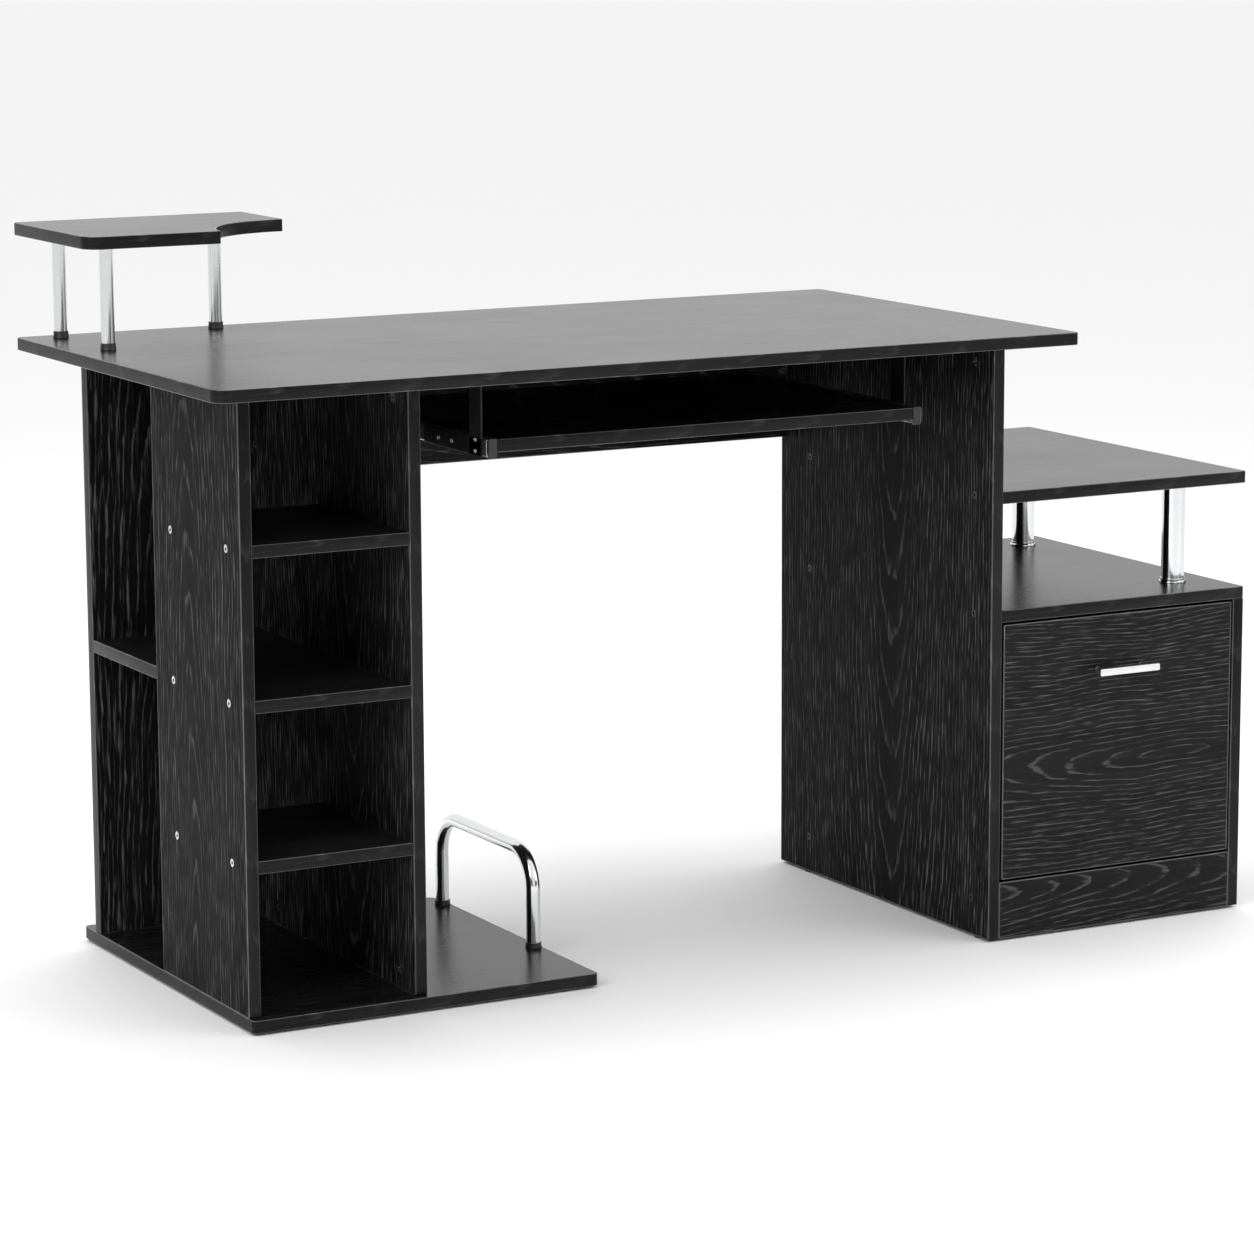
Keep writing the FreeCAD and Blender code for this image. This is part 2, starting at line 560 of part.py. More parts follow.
def make_tray():
    """Keyboard tray hung under the desktop by sheet-steel hangers and rear brackets."""
    tray = board((TRAY_LEFT, TRAY_RIGHT), (TRAY_FRONT, TRAY_BACK), (TRAY_UNDERSIDE, TRAY_TOP))
    NODES["keyboard_tray"] = tray
    low = TRAY_RUNNER_MIDDLE - TRAY_RUNNER_HEIGHT / 2
    runner_front = TRAY_FRONT + RUNNER_CAP
    caps = []
    screws = []
    sides = (("left", TRAY_LEFT, -1), ("right", TRAY_RIGHT, 1))
    for (place, edge, side), setback in zip(sides, TRAY_HANGER_SETBACKS):
        support = edge + side * RUNNER_THICKNESS
        runner("tray_runner_" + place, support, -side, runner_front, TRAY_RUNNER_LENGTH,
               TRAY_RUNNER_MIDDLE, TRAY_RUNNER_HEIGHT)
        sheet_x = tuple(sorted((support, support + side * TRAY_HANGER_SHEET)))
        flange_x = tuple(sorted((support, support + side * TRAY_HANGER_FLANGE)))
        front = TRAY_FRONT + setback
        strip_y = (front, front + TRAY_HANGER_WIDTH)
        strip = box(sheet_x, strip_y, (low, DESKTOP_UNDERSIDE))
        arm = box(sheet_x, (front, front + TRAY_HANGER_ARM), (low, low + TRAY_RUNNER_HEIGHT))
        flange = box(flange_x, strip_y, (DESKTOP_UNDERSIDE - TRAY_HANGER_SHEET, DESKTOP_UNDERSIDE))
        NODES["tray_hanger_" + place] = strip.fuse(arm).fuse(flange).removeSplitter()
        rear_arm = box(sheet_x, (STRETCHER_FRONT - TRAY_REAR_ARM, STRETCHER_FRONT),
                       (low, low + TRAY_RUNNER_HEIGHT))
        foot_y = (STRETCHER_FRONT - TRAY_HANGER_SHEET, STRETCHER_FRONT)
        foot = box(flange_x, foot_y, (low, low + TRAY_RUNNER_HEIGHT))
        NODES["tray_rear_bracket_" + place] = rear_arm.fuse(foot).removeSplitter()

        cap_reach = RUNNER_THICKNESS - 2 * RUNNER_SHEET
        cap_x = tuple(sorted((edge, edge + side * cap_reach)))
        cap_height = (low - RUNNER_CAP_PROUD, low + TRAY_RUNNER_HEIGHT + RUNNER_CAP_PROUD)
        cap = box(cap_x, (TRAY_FRONT, runner_front), cap_height)
        caps.append(soften(cap))

        outer_face = support + side * TRAY_HANGER_SHEET
        outward = X_AXIS * side
        strip_middle = front + TRAY_HANGER_WIDTH / 2
        places = [(strip_middle, TRAY_RUNNER_MIDDLE + rise) for rise in HANGER_SCREWS_FROM_MIDDLE]
        places += [(front + distance, TRAY_RUNNER_MIDDLE) for distance in HANGER_ARM_SCREWS]
        places += [(STRETCHER_FRONT - distance, TRAY_RUNNER_MIDDLE) for distance in REAR_ARM_SCREWS]
        for y, z in places:
            screws.append(small_screw(FreeCAD.Vector(outer_face, y, z), outward))
    NODES["tray_runner_caps"] = Part.makeCompound(caps)
    NODES["tray_bracket_screws"] = Part.makeCompound(screws)


def make_glides():
    """Nail-on glides under the base board, the leg panel and the cabinet's right side."""
    wing_ys = (BASE_FRONT + GLIDE_INSET, BASE_FRONT + BASE_WING_DEPTH - GLIDE_INSET)
    tower_ys = (BASE_FRONT + GLIDE_INSET, BACK - GLIDE_INSET)
    panel_ys = (LEG_FRONT + GLIDE_INSET, CABINET_BACK - GLIDE_INSET)
    panel_radius = min(GLIDE_RADIUS, BOARD / 2 - GLIDE_EDGE_MARGIN)
    rows = [
        (BASE_RIGHT - GLIDE_INSET, wing_ys, GLIDE_RADIUS),
        (TOWER_RIGHT, wing_ys, GLIDE_RADIUS),
        (TOWER_LEFT + GLIDE_INSET, tower_ys, GLIDE_RADIUS),
        (LEG_LEFT + BOARD / 2, panel_ys, panel_radius),
        (RIGHT - BOARD / 2, panel_ys, panel_radius),
    ]
    glides = []
    for x, ys, radius in rows:
        for y in ys:
            glides.append(rod(2 * radius, FreeCAD.Vector(x, y, 0), Z_AXIS, GLIDE_HEIGHT))
    NODES["floor_glides"] = Part.makeCompound(glides)


def grid(ys, zs):
    """Every (y, z) pair of the two lists."""
    return [(y, z) for z in zs for y in ys]


def fit_panel_screws():
    """Screws through the upright panels into the ends of what they carry."""
    shelf_ys = [TOWER_FRONT + SCREW_INSET, LEFT_PANEL_BACK - SHELF_SCREW_INSET_REAR]
    shelf_zs = [top - BOARD / 2 for top in (LOW_SHELF_TOP, MIDDLE_SHELF_TOP, TOP_SHELF_TOP)]
    on_shelves = grid(shelf_ys, shelf_zs)
    back_zs = [BASE_TOP + BACK_PANEL_SCREW_INSET, DESKTOP_UNDERSIDE - BACK_PANEL_SCREW_INSET]
    on_back = grid([TOWER_BACK - BOARD / 2], back_zs)
    leg_ys = [LEG_FRONT + SCREW_INSET, CABINET_BACK - SCREW_INSET]
    bottom_z = BOTTOM_BOARD_TOP - BOARD / 2
    leg_zs = [bottom_z, CABINET_TOP_HEIGHT - BOARD / 2, PRINTER_SHELF_TOP - BOARD / 2]
    stretcher_low = DESKTOP_UNDERSIDE - STRETCHER_HEIGHT + SCREW_INSET
    on_stretcher = grid([LEG_BACK - BOARD / 2], [stretcher_low, DESKTOP_UNDERSIDE - SCREW_INSET])
    shelves = ["tower_low_shelf", "tower_middle_shelf", "tower_top_shelf"]
    right_carried = ["tower_right_panel", "tower_back_panel"] + shelves
    leg_carried = ["right_leg_panel", "cabinet_bottom", "cabinet_top", "printer_shelf"]
    side_carried = ["cabinet_right_panel", "cabinet_bottom"]
    rows = [
        ("tower_left_screws", TOWER_LEFT, X_AXIS, on_shelves, ["tower_left_panel"] + shelves),
        ("tower_right_screws", TOWER_RIGHT, -X_AXIS, on_shelves + on_back, right_carried),
        ("leg_panel_screws", LEG_LEFT, X_AXIS, grid(leg_ys, leg_zs), leg_carried),
        ("cabinet_side_screws", RIGHT, -X_AXIS, grid(leg_ys, [bottom_z]), side_carried),
        ("stretcher_screws", LEG_RIGHT, -X_AXIS, on_stretcher, ["right_leg_panel", "rear_stretcher"]),
        ("stretcher_screws", TOWER_RIGHT - BOARD, X_AXIS, on_stretcher,
         ["tower_right_panel", "rear_stretcher"]),
    ]
    screws = {}
    for name, x, axis, places, drilled in rows:
        heads = [FreeCAD.Vector(x, y, z) for y, z in places]
        screws.setdefault(name, []).extend(panel_screw(head, axis) for head in heads)
        holes = [panel_screw_hole(head, axis) for head in heads]
        for node in drilled:
            NODES[node] = cut_all(NODES[node], holes)
    for name, solids in screws.items():
        NODES[name] = Part.makeCompound(solids)


def fit_cam_locks():
    """Cam locks that pull the upright panels to the desktop and the base board."""
    right_inner = TOWER_RIGHT - BOARD
    left_inner = TOWER_LEFT + BOARD
    left_ys = (TOWER_FRONT + SCREW_INSET, LEFT_PANEL_BACK - SCREW_INSET)
    right_ys = (TOWER_FRONT + SCREW_INSET, TOWER_BACK - CAM_INSET_REAR)
    leg_ys = (LEG_FRONT + SCREW_INSET, LEG_BACK - CAM_INSET_REAR)
    ends = {
        "desktop": (DESKTOP_UNDERSIDE - CAM_FROM_EDGE, Z_AXIS),
        "base_board": (BASE_TOP + CAM_FROM_EDGE, -Z_AXIS),
    }
    panels = [
        ("tower_left_panel", left_inner, -X_AXIS, left_ys, ("desktop", "base_board")),
        ("tower_right_panel", right_inner, X_AXIS, right_ys, ("desktop", "base_board")),
        ("right_leg_panel", LEG_LEFT, X_AXIS, leg_ys, ("desktop",)),
    ]
    cams = []
    bolts = []
    for panel, x, axis, ys, targets in panels:
        for target in targets:
            height, towards = ends[target]
            for y in ys:
                centre = FreeCAD.Vector(x, y, height)
                pocket = rod(CAM_DIAMETER, centre, axis, CAM_DEPTH)
                bolt = cam_bolt(centre, axis, towards)
                cams.append(cam_lock(centre, axis).cut(bolt))
                bolts.append(bolt)
                NODES[panel] = cut_all(NODES[panel], [pocket, bolt])
                NODES[target] = NODES[target].cut(bolt)
    NODES["cam_locks"] = Part.makeCompound(cams)
    NODES["cam_bolts"] = Part.makeCompound(bolts)


def main():
    """Build every node and write it to its own STEP file."""
    make_desktop()
    make_raised_shelf()
    make_base_board()
    make_tower()
    make_guard_bar()
    make_leg_and_stretcher()
    make_cabinet()
    make_printer_shelf()
    make_drawer()
    make_drawer_runners()
    make_tray()
    make_glides()
    fit_panel_screws()
    fit_cam_locks()
    os.makedirs("parts", exist_ok=True)
    for name, shape in NODES.items():
        shape.exportStep(os.path.join("parts", name + ".step"))


main()
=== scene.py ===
"""Looks of a black wood-grain computer desk: boards, chrome posts, runners, fittings and their finishes.

Every length is in metres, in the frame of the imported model: X to the right, Y to the back, Z up. A board or
fitting takes its place from the model's own node, and its surface is worked out here as numpy arrays.
"""
from __future__ import annotations

import json
import logging
import math
from dataclasses import dataclass, field
from enum import Enum
from typing import Iterable, Sequence

import bmesh
import bpy
import numpy as np
from mathutils import Matrix, Vector
from mathutils.geometry import tessellate_polygon

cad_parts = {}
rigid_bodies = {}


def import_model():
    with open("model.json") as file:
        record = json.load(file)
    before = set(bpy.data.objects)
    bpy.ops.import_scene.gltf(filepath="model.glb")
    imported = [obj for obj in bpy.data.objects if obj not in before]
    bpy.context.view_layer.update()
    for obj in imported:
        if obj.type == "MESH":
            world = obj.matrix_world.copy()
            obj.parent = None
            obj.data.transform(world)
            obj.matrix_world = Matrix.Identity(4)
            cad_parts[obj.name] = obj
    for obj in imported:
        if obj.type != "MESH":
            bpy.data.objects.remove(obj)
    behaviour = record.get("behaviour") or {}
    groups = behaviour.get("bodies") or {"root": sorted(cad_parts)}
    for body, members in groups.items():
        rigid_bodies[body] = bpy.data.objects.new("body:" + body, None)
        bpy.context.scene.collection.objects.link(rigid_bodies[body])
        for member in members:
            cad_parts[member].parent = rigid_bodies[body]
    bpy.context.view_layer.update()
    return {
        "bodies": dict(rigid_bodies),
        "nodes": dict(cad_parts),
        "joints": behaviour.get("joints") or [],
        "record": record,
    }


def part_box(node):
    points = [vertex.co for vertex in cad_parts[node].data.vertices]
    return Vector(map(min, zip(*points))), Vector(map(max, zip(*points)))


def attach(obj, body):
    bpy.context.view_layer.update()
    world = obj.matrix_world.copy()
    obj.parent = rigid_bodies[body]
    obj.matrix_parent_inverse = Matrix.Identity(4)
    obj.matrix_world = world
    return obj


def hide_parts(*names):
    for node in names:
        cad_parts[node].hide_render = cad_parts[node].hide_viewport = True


LOG = logging.getLogger("desk")
MM = 0.001
WELD = 2e-7
SHARP_ANGLE = math.radians(38)

Box = tuple[np.ndarray, np.ndarray]
Socket = bpy.types.NodeSocket
Color = tuple[float, float, float]


class Axis(Enum):
    """An axis of the model, used for grain directions and for the way a fitting points."""

    X = 0
    Y = 1
    Z = 2

    def vector(self, sign: float = 1.0) -> np.ndarray:
        """Unit vector along the axis, turned round by a negative sign.

        Args:
            sign: 1 for the axis's own way, -1 for the other.

        Returns:
            The vector, (3,).
        """
        unit = np.zeros(3)
        unit[self.value] = sign
        return unit


# Shader nodes


class Wiring:
    """Adds and links the nodes of one shader tree."""

    def __init__(self, tree: bpy.types.NodeTree) -> None:
        """Keeps the tree.

        Args:
            tree: the shader tree to add nodes to.
        """
        self.tree = tree

    def node(self, kind: str, **settings: object) -> bpy.types.Node:
        """Adds a node and sets its properties.

        Args:
            kind: the node's type, such as ShaderNodeMath.
            settings: properties of the node itself, by name.

        Returns:
            The new node.
        """
        made = self.tree.nodes.new(kind)
        made.location = (200.0 * (len(self.tree.nodes) % 12), -260.0 * (len(self.tree.nodes) // 12))
        for name, value in settings.items():
            setattr(made, name, value)
        return made

    def feed(self, target: Socket, value: Socket | float | Sequence[float]) -> None:
        """Links a socket, or sets a constant, on an input socket.

        Args:
            target: the input socket.
            value: the socket or constant that it gets.
        """
        if isinstance(value, bpy.types.NodeSocket):
            self.tree.links.new(value, target)
        else:
            target.default_value = value

    def math(self, operation: str, *values: Socket | float, clamp: bool = False) -> Socket:
        """Adds a Math node.

        Args:
            operation: the node's operation, such as MULTIPLY.
            values: sockets or numbers for its inputs, in order.
            clamp: whether the result is kept between 0 and 1.

        Returns:
            The node's output socket.
        """
        made = self.node("ShaderNodeMath", operation=operation, use_clamp=clamp)
        for target, value in zip(made.inputs, values):
            self.feed(target, value)
        return made.outputs[0]

    def combine(self, x: Socket | float, y: Socket | float, z: Socket | float) -> Socket:
        """Vector made of three values.

        Args:
            x: first value.
            y: second value.
            z: third value.

        Returns:
            The vector's socket.
        """
        made = self.node("ShaderNodeCombineXYZ")
        for target, value in zip(made.inputs, (x, y, z)):
            self.feed(target, value)
        return made.outputs[0]

    def split(self, vector: Socket) -> Sequence[Socket]:
        """The three values of a vector.

        Args:
            vector: the vector's socket.

        Returns:
            Their three sockets.
        """
        made = self.node("ShaderNodeSeparateXYZ")
        self.feed(made.inputs[0], vector)
        return made.outputs

    def noise(self, place: Socket, scale: float, detail: float, roughness: float = 0.5) -> Socket:
        """Noise between 0 and 1 at a place.

        Args:
            place: vector socket that the noise is read at.
            scale: repeats per unit of the vector.
            detail: octaves of finer noise.
            roughness: weight of the finer octaves.

        Returns:
            The factor socket.
        """
        made = self.node("ShaderNodeTexNoise")
        self.feed(made.inputs["Vector"], place)
        made.inputs["Scale"].default_value = scale
        made.inputs["Detail"].default_value = detail
        made.inputs["Roughness"].default_value = roughness
        return made.outputs[0]

    def ramp(self, value: Socket, low: float, high: float, to_low: float, to_high: float) -> Socket:
        """Smooth step of a value from one range to another.

        Args:
            value: the socket that is mapped.
            low: value that gives to_low.
            high: value that gives to_high.
            to_low: result at low and below.
            to_high: result at high and above.

        Returns:
            The result socket.
        """
        made = self.node("ShaderNodeMapRange", interpolation_type="SMOOTHSTEP")
        for target, item in zip(made.inputs, (value, low, high, to_low, to_high)):
            self.feed(target, item)
        return made.outputs[0]

    def mix(self, factor: Socket, first: Color, second: Color) -> Socket:
        """Colour between two colours.

        Args:
            factor: socket from 0, the first colour, to 1, the second.
            first: linear colour.
            second: linear colour.

        Returns:
            The colour socket.
        """
        made = self.node("ShaderNodeMix", data_type="RGBA")
        self.feed(made.inputs[0], factor)
        made.inputs[6].default_value = (*first, 1.0)
        made.inputs[7].default_value = (*second, 1.0)
        return made.outputs[2]


class Effect(Enum):
    """Effects that several finishes share, each one shader node group."""

    WOOD_PRINT = "wood_print"
    HANDLING_MARKS = "handling_marks"
    DRAWN_STREAKS = "drawn_streaks"
    FINE_PEEL = "fine_peel"


class EffectGroups:
    """Builds each shared node group once."""

    def __init__(self) -> None:
        """Starts with no group made."""
        self.made: dict[Effect, bpy.types.NodeTree] = {}

    def get(self, effect: Effect) -> bpy.types.NodeTree:
        """The group of an effect, made when first asked for.

        Args:
            effect: which effect.

        Returns:
            The group.
        """
        if effect not in self.made:
            self.made[effect] = getattr(self, "_" + effect.value)()
        return self.made[effect]

    @staticmethod
    def _start(name: str, inputs: dict[str, float | None], outputs: Sequence[str]) -> tuple:
        """Empty group with its sockets.

        Args:
            name: the group's name.
            inputs: default of each number input by name, or None for a vector input.
            outputs: names of the number outputs.

        Returns:
            The group, its wiring, its input node's outputs and its output node's inputs.
        """
        group = bpy.data.node_groups.new(name, "ShaderNodeTree")
        for label, default in inputs.items():
            kind = "NodeSocketVector" if default is None else "NodeSocketFloat"
            made = group.interface.new_socket(name=label, in_out="INPUT", socket_type=kind)
            if default is not None:
                made.default_value = default
        for label in outputs:
            group.interface.new_socket(name=label, in_out="OUTPUT", socket_type="NodeSocketFloat")
        wiring = Wiring(group)
        source = wiring.node("NodeGroupInput").outputs
        target = wiring.node("NodeGroupOutput").inputs
        return group, wiring, source, target

    def _wood_print(self) -> bpy.types.NodeTree:
        """Printed flat-sawn grain: growth rings cut at a slant, pores as fine dashes, and broad bands.

        A ring's radius is the length of (across, tilt times along), so that lines of equal radius are the
        pointed arches of a flat-sawn board. Along is the vector's X in metres, and across is its Y. Pores
        gather before each ring's line, and are few in the board's heart.

        Returns:
            The group.
        """
        inputs = {"Grain": None, "Seed": 0.0, "Ring Spacing": 0.012, "Arch Tilt": 0.08}
        inputs |= {"Line Weight": 0.5, "Pore Weight": 0.4, "Band Weight": 0.3, "Pore Fineness": 600.0}
        group, w, source, target = self._start("wood_print", inputs, ("Tone", "Pores"))
        along, across = w.split(source["Grain"])[:2]
        seed = source["Seed"]

        def stretched(along_scale: float, across_scale: float, shift: float) -> Socket:
            """Vector whose noise is long along the grain and short across it.

            Args:
                along_scale: repeats per metre along the grain.
                across_scale: repeats per metre across it.
                shift: added to the seed, so that each use has its own noise.

            Returns:
                The vector's socket.
            """
            stretched_along = w.math("MULTIPLY", along, along_scale)
            stretched_across = w.math("MULTIPLY", across, across_scale)
            return w.combine(stretched_along, stretched_across, w.math("ADD", seed, shift))

        wander = w.math("SUBTRACT", w.noise(stretched(2.2, 5.0, 0.0), 1.0, 2.0), 0.5)
        bent = w.math("ADD", across, w.math("MULTIPLY", wander, 0.07))
        slant = w.math("MULTIPLY", along, source["Arch Tilt"])
        squares = w.math("ADD", w.math("MULTIPLY", bent, bent), w.math("MULTIPLY", slant, slant))
        rings = w.math("DIVIDE", w.math("SQRT", squares), source["Ring Spacing"])
        ripple = w.math("SUBTRACT", w.noise(stretched(14.0, 60.0, 5.0), 1.0, 3.0, 0.6), 0.5)
        phase = w.math("FRACT", w.math("ADD", rings, w.math("MULTIPLY", ripple, 0.9)))
        lines = w.math("MULTIPLY", w.ramp(phase, 0.72, 0.9, 0.0, 1.0), w.ramp(phase, 0.93, 1.0, 1.0, 0.0))
        breaks = w.ramp(w.noise(stretched(26.0, 130.0, 11.0), 1.0, 2.0), 0.4, 0.58, 0.1, 1.0)
        lines = w.math("MULTIPLY", lines, breaks)
        fine_along = w.math("MULTIPLY", source["Pore Fineness"], 0.07)
        place = w.combine(w.math("MULTIPLY", along, fine_along),
                          w.math("MULTIPLY", across, source["Pore Fineness"]), seed)
        dashes = w.ramp(w.noise(place, 1.0, 1.0), 0.54, 0.66, 0.0, 1.0)
        early = w.ramp(phase, 0.2, 0.85, 0.12, 1.0)
        sides = w.ramp(w.math("ABSOLUTE", bent), 0.015, 0.06, 0.25, 1.0)
        pores = w.math("MULTIPLY", dashes, w.math("MULTIPLY", early, sides), clamp=True)
        bands = w.ramp(w.noise(stretched(1.3, 26.0, 9.0), 1.0, 3.0, 0.6), 0.3, 0.75, 0.0, 1.0)
        tone = w.math("MULTIPLY", lines, source["Line Weight"])
        tone = w.math("ADD", tone, w.math("MULTIPLY", pores, source["Pore Weight"]))
        tone = w.math("ADD", tone, w.math("MULTIPLY", bands, source["Band Weight"]), clamp=True)
        w.feed(target["Tone"], tone)
        w.feed(target["Pores"], pores)
        return group

    def _handling_marks(self) -> bpy.types.NodeTree:
        """Faint smears and wipe marks: broad soft noise, sharpened, and stretched noise over it.

        Returns:
            The group.
        """
        group, w, source, target = self._start("handling_marks", {"Place": None, "Amount": 0.05}, ("Rise",))
        smears = w.ramp(w.noise(source["Place"], 5.0, 4.0, 0.6), 0.42, 0.7, 0.0, 1.0)
        scaled = [w.math("MULTIPLY", part, scale)
                  for part, scale in zip(w.split(source["Place"]), (3.0, 14.0, 14.0))]
        wiped = w.ramp(w.noise(w.combine(*scaled), 2.0, 3.0), 0.4, 0.75, 0.0, 1.0)
        both = w.math("ADD", w.math("MULTIPLY", smears, 0.6), w.math("MULTIPLY", wiped, 0.4))
        w.feed(target["Rise"], w.math("MULTIPLY", both, source["Amount"]))
        return group

    def _drawn_streaks(self) -> bpy.types.NodeTree:
        """Fine streaks left by drawing or polishing metal: noise that is long in X and short in Y and Z.

        Returns:
            The group.
        """
        inputs = {"Place": None, "Fineness": 900.0}
        group, w, source, target = self._start("drawn_streaks", inputs, ("Streak",))
        x, y, z = w.split(source["Place"])
        long_way = w.math("MULTIPLY", x, 20.0)
        short_ways = [w.math("MULTIPLY", part, source["Fineness"]) for part in (y, z)]
        streaks = w.noise(w.combine(long_way, *short_ways), 1.0, 3.0, 0.65)
        w.feed(target["Streak"], w.ramp(streaks, 0.3, 0.7, 0.0, 1.0))
        return group

    def _fine_peel(self) -> bpy.types.NodeTree:
        """Fine bumps of moulded plastic or powder coat: two sizes of noise added.

        Returns:
            The group.
        """
        inputs = {"Place": None}
        group, w, source, target = self._start("fine_peel", inputs, ("Height", "Speckle"))
        coarse = w.noise(source["Place"], 1100.0, 2.0)
        fine = w.noise(source["Place"], 3200.0, 2.0)
        w.feed(target["Height"], w.math("ADD", coarse, w.math("MULTIPLY", fine, 0.4)))
        w.feed(target["Speckle"], w.ramp(fine, 0.35, 0.7, 0.0, 1.0))
        return group


EFFECTS = EffectGroups()


class Finish:
    """A finish that can make its own material."""

    name: str
    marks: float

    def _open(self, name: str) -> tuple[bpy.types.Material, Wiring, bpy.types.Node]:
        """New material with only its Principled shader.

        Args:
            name: the material's name.

        Returns:
            The material, its wiring and its Principled node.
        """
        material = bpy.data.materials.new(name)
        material.use_nodes = True
        wiring = Wiring(material.node_tree)
        return material, wiring, material.node_tree.nodes["Principled BSDF"]

    @staticmethod
    def _effect(wiring: Wiring, effect: Effect, values: dict[str, Socket | float]) -> bpy.types.Node:
        """Places a shared effect in a material.

        Args:
            wiring: the material's wiring.
            effect: which shared group.
            values: the group's inputs by name.

        Returns:
            The group node.
        """
        made = wiring.node("ShaderNodeGroup")
        made.node_tree = EFFECTS.get(effect)
        for label, value in values.items():
            wiring.feed(made.inputs[label], value)
        return made

    def _marked(self, wiring: Wiring) -> tuple[Socket, Socket]:
        """Object coordinates, and what handling marks add to the roughness there.

        Args:
            wiring: the material's wiring.

        Returns:
            The coordinates' socket and the rise's.
        """
        place = wiring.node("ShaderNodeTexCoord").outputs["Object"]
        marks = self._effect(wiring, Effect.HANDLING_MARKS, {"Place": place, "Amount": self.marks})
        return place, marks.outputs["Rise"]

    @staticmethod
    def _bump(wiring: Wiring, shader: bpy.types.Node, height: Socket, distance: float) -> None:
        """Turns a height into the shader's normal.

        Args:
            wiring: the material's wiring.
            shader: the Principled node.
            height: height from 0 to 1.
            distance: how far 1 stands up, in metres.
        """
        bump = wiring.node("ShaderNodeBump")
        bump.inputs["Distance"].default_value = distance
        wiring.feed(bump.inputs["Height"], height)
        wiring.feed(shader.inputs["Normal"], bump.outputs["Normal"])


class PlainFinish(Finish):
    """A finish that looks the same on every piece, so that all of them share one material."""

    def material(self) -> bpy.types.Material:
        """The shared material, made when first asked for."""
        return bpy.data.materials.get(self.name) or self._made()


@dataclass(frozen=True)
class WoodFinish(Finish):
    """Black melamine with a printed open grain, read from the piece's own grain map."""

    name: str
    dark: Color = (0.0045, 0.0045, 0.0047)
    pale: Color = (0.105, 0.104, 0.102)
    ring_spacing: float = 0.0075
    arch_tilt: float = 0.085
    lines: float = 0.8
    pores: float = 0.5
    bands: float = 0.05
    pore_fineness: float = 600.0
    specular: float = 0.13
    roughness: float = 0.36
    roughness_spread: float = 0.12
    pore_depth: float = 0.00006
    marks: float = 0.05

    def material(self, piece: str, seed: float) -> bpy.types.Material:
        """Material of one board.

        Args:
            piece: the board's name, for the material's name.
            seed: shifts the print, so that no two boards are alike.

        Returns:
            The material.
        """
        material, w, shader = self._open(f"{self.name}_{piece}")
        grain = w.node("ShaderNodeUVMap", uv_map="grain").outputs[0]
        values = {"Grain": grain, "Seed": seed, "Ring Spacing": self.ring_spacing}
        values |= {"Arch Tilt": self.arch_tilt, "Line Weight": self.lines}
        values |= {"Pore Weight": self.pores, "Band Weight": self.bands, "Pore Fineness": self.pore_fineness}
        printed = self._effect(w, Effect.WOOD_PRINT, values)
        shader.inputs["Specular IOR Level"].default_value = self.specular
        w.feed(shader.inputs["Base Color"], w.mix(printed.outputs["Tone"], self.dark, self.pale))
        _, rise = self._marked(w)
        rough = w.math("MULTIPLY", printed.outputs["Pores"], self.roughness_spread)
        w.feed(shader.inputs["Roughness"], w.math("ADD", w.math("ADD", rough, self.roughness), rise))
        pits = w.math("SUBTRACT", 1.0, printed.outputs["Pores"])
        self._bump(w, shader, pits, self.pore_depth)
        return material


@dataclass(frozen=True)
class MetalFinish(PlainFinish):
    """Bare or plated metal with fine drawn streaks and faint marks."""

    name: str
    color: Color
    worn: Color
    roughness: float
    streak_roughness: float = 0.05
    fineness: float = 900.0
    streak_height: float = 0.000004
    marks: float = 0.03

    def _made(self) -> bpy.types.Material:
        """Makes the material.

        Returns:
            The material.
        """
        material, w, shader = self._open(self.name)
        place, rise = self._marked(w)
        values = {"Place": place, "Fineness": self.fineness}
        streak = self._effect(w, Effect.DRAWN_STREAKS, values).outputs["Streak"]
        w.feed(shader.inputs["Base Color"], w.mix(streak, self.color, self.worn))
        shader.inputs["Metallic"].default_value = 1.0
        rough = w.math("ADD", w.math("MULTIPLY", streak, self.streak_roughness), self.roughness)
        w.feed(shader.inputs["Roughness"], w.math("ADD", rough, rise))
        self._bump(w, shader, streak, self.streak_height)
        return material


@dataclass(frozen=True)
class CoatFinish(PlainFinish):
    """Moulded plastic, powder coat or hardboard: a speckled colour over fine bumps."""

    name: str
    color: Color
    speckle: Color
    roughness: float
    peel_height: float = 0.00002
    marks: float = 0.06
    mottle: float = 4.0
    specular: float = 0.3
    speckle_weight: float = 0.6

    def _made(self) -> bpy.types.Material:
        """Makes the material.

        Returns:
            The material.
        """
        material, w, shader = self._open(self.name)
        place, rise = self._marked(w)
        peel = self._effect(w, Effect.FINE_PEEL, {"Place": place})
        shader.inputs["Specular IOR Level"].default_value = self.specular
        speckled = w.math("MULTIPLY", peel.outputs["Speckle"], self.speckle_weight)
        tone = w.math("ADD", speckled, w.math("MULTIPLY", rise, self.mottle), clamp=True)
        w.feed(shader.inputs["Base Color"], w.mix(tone, self.color, self.speckle))
        w.feed(shader.inputs["Roughness"], w.math("ADD", rise, self.roughness))
        self._bump(w, shader, peel.outputs["Height"], self.peel_height)
        return material


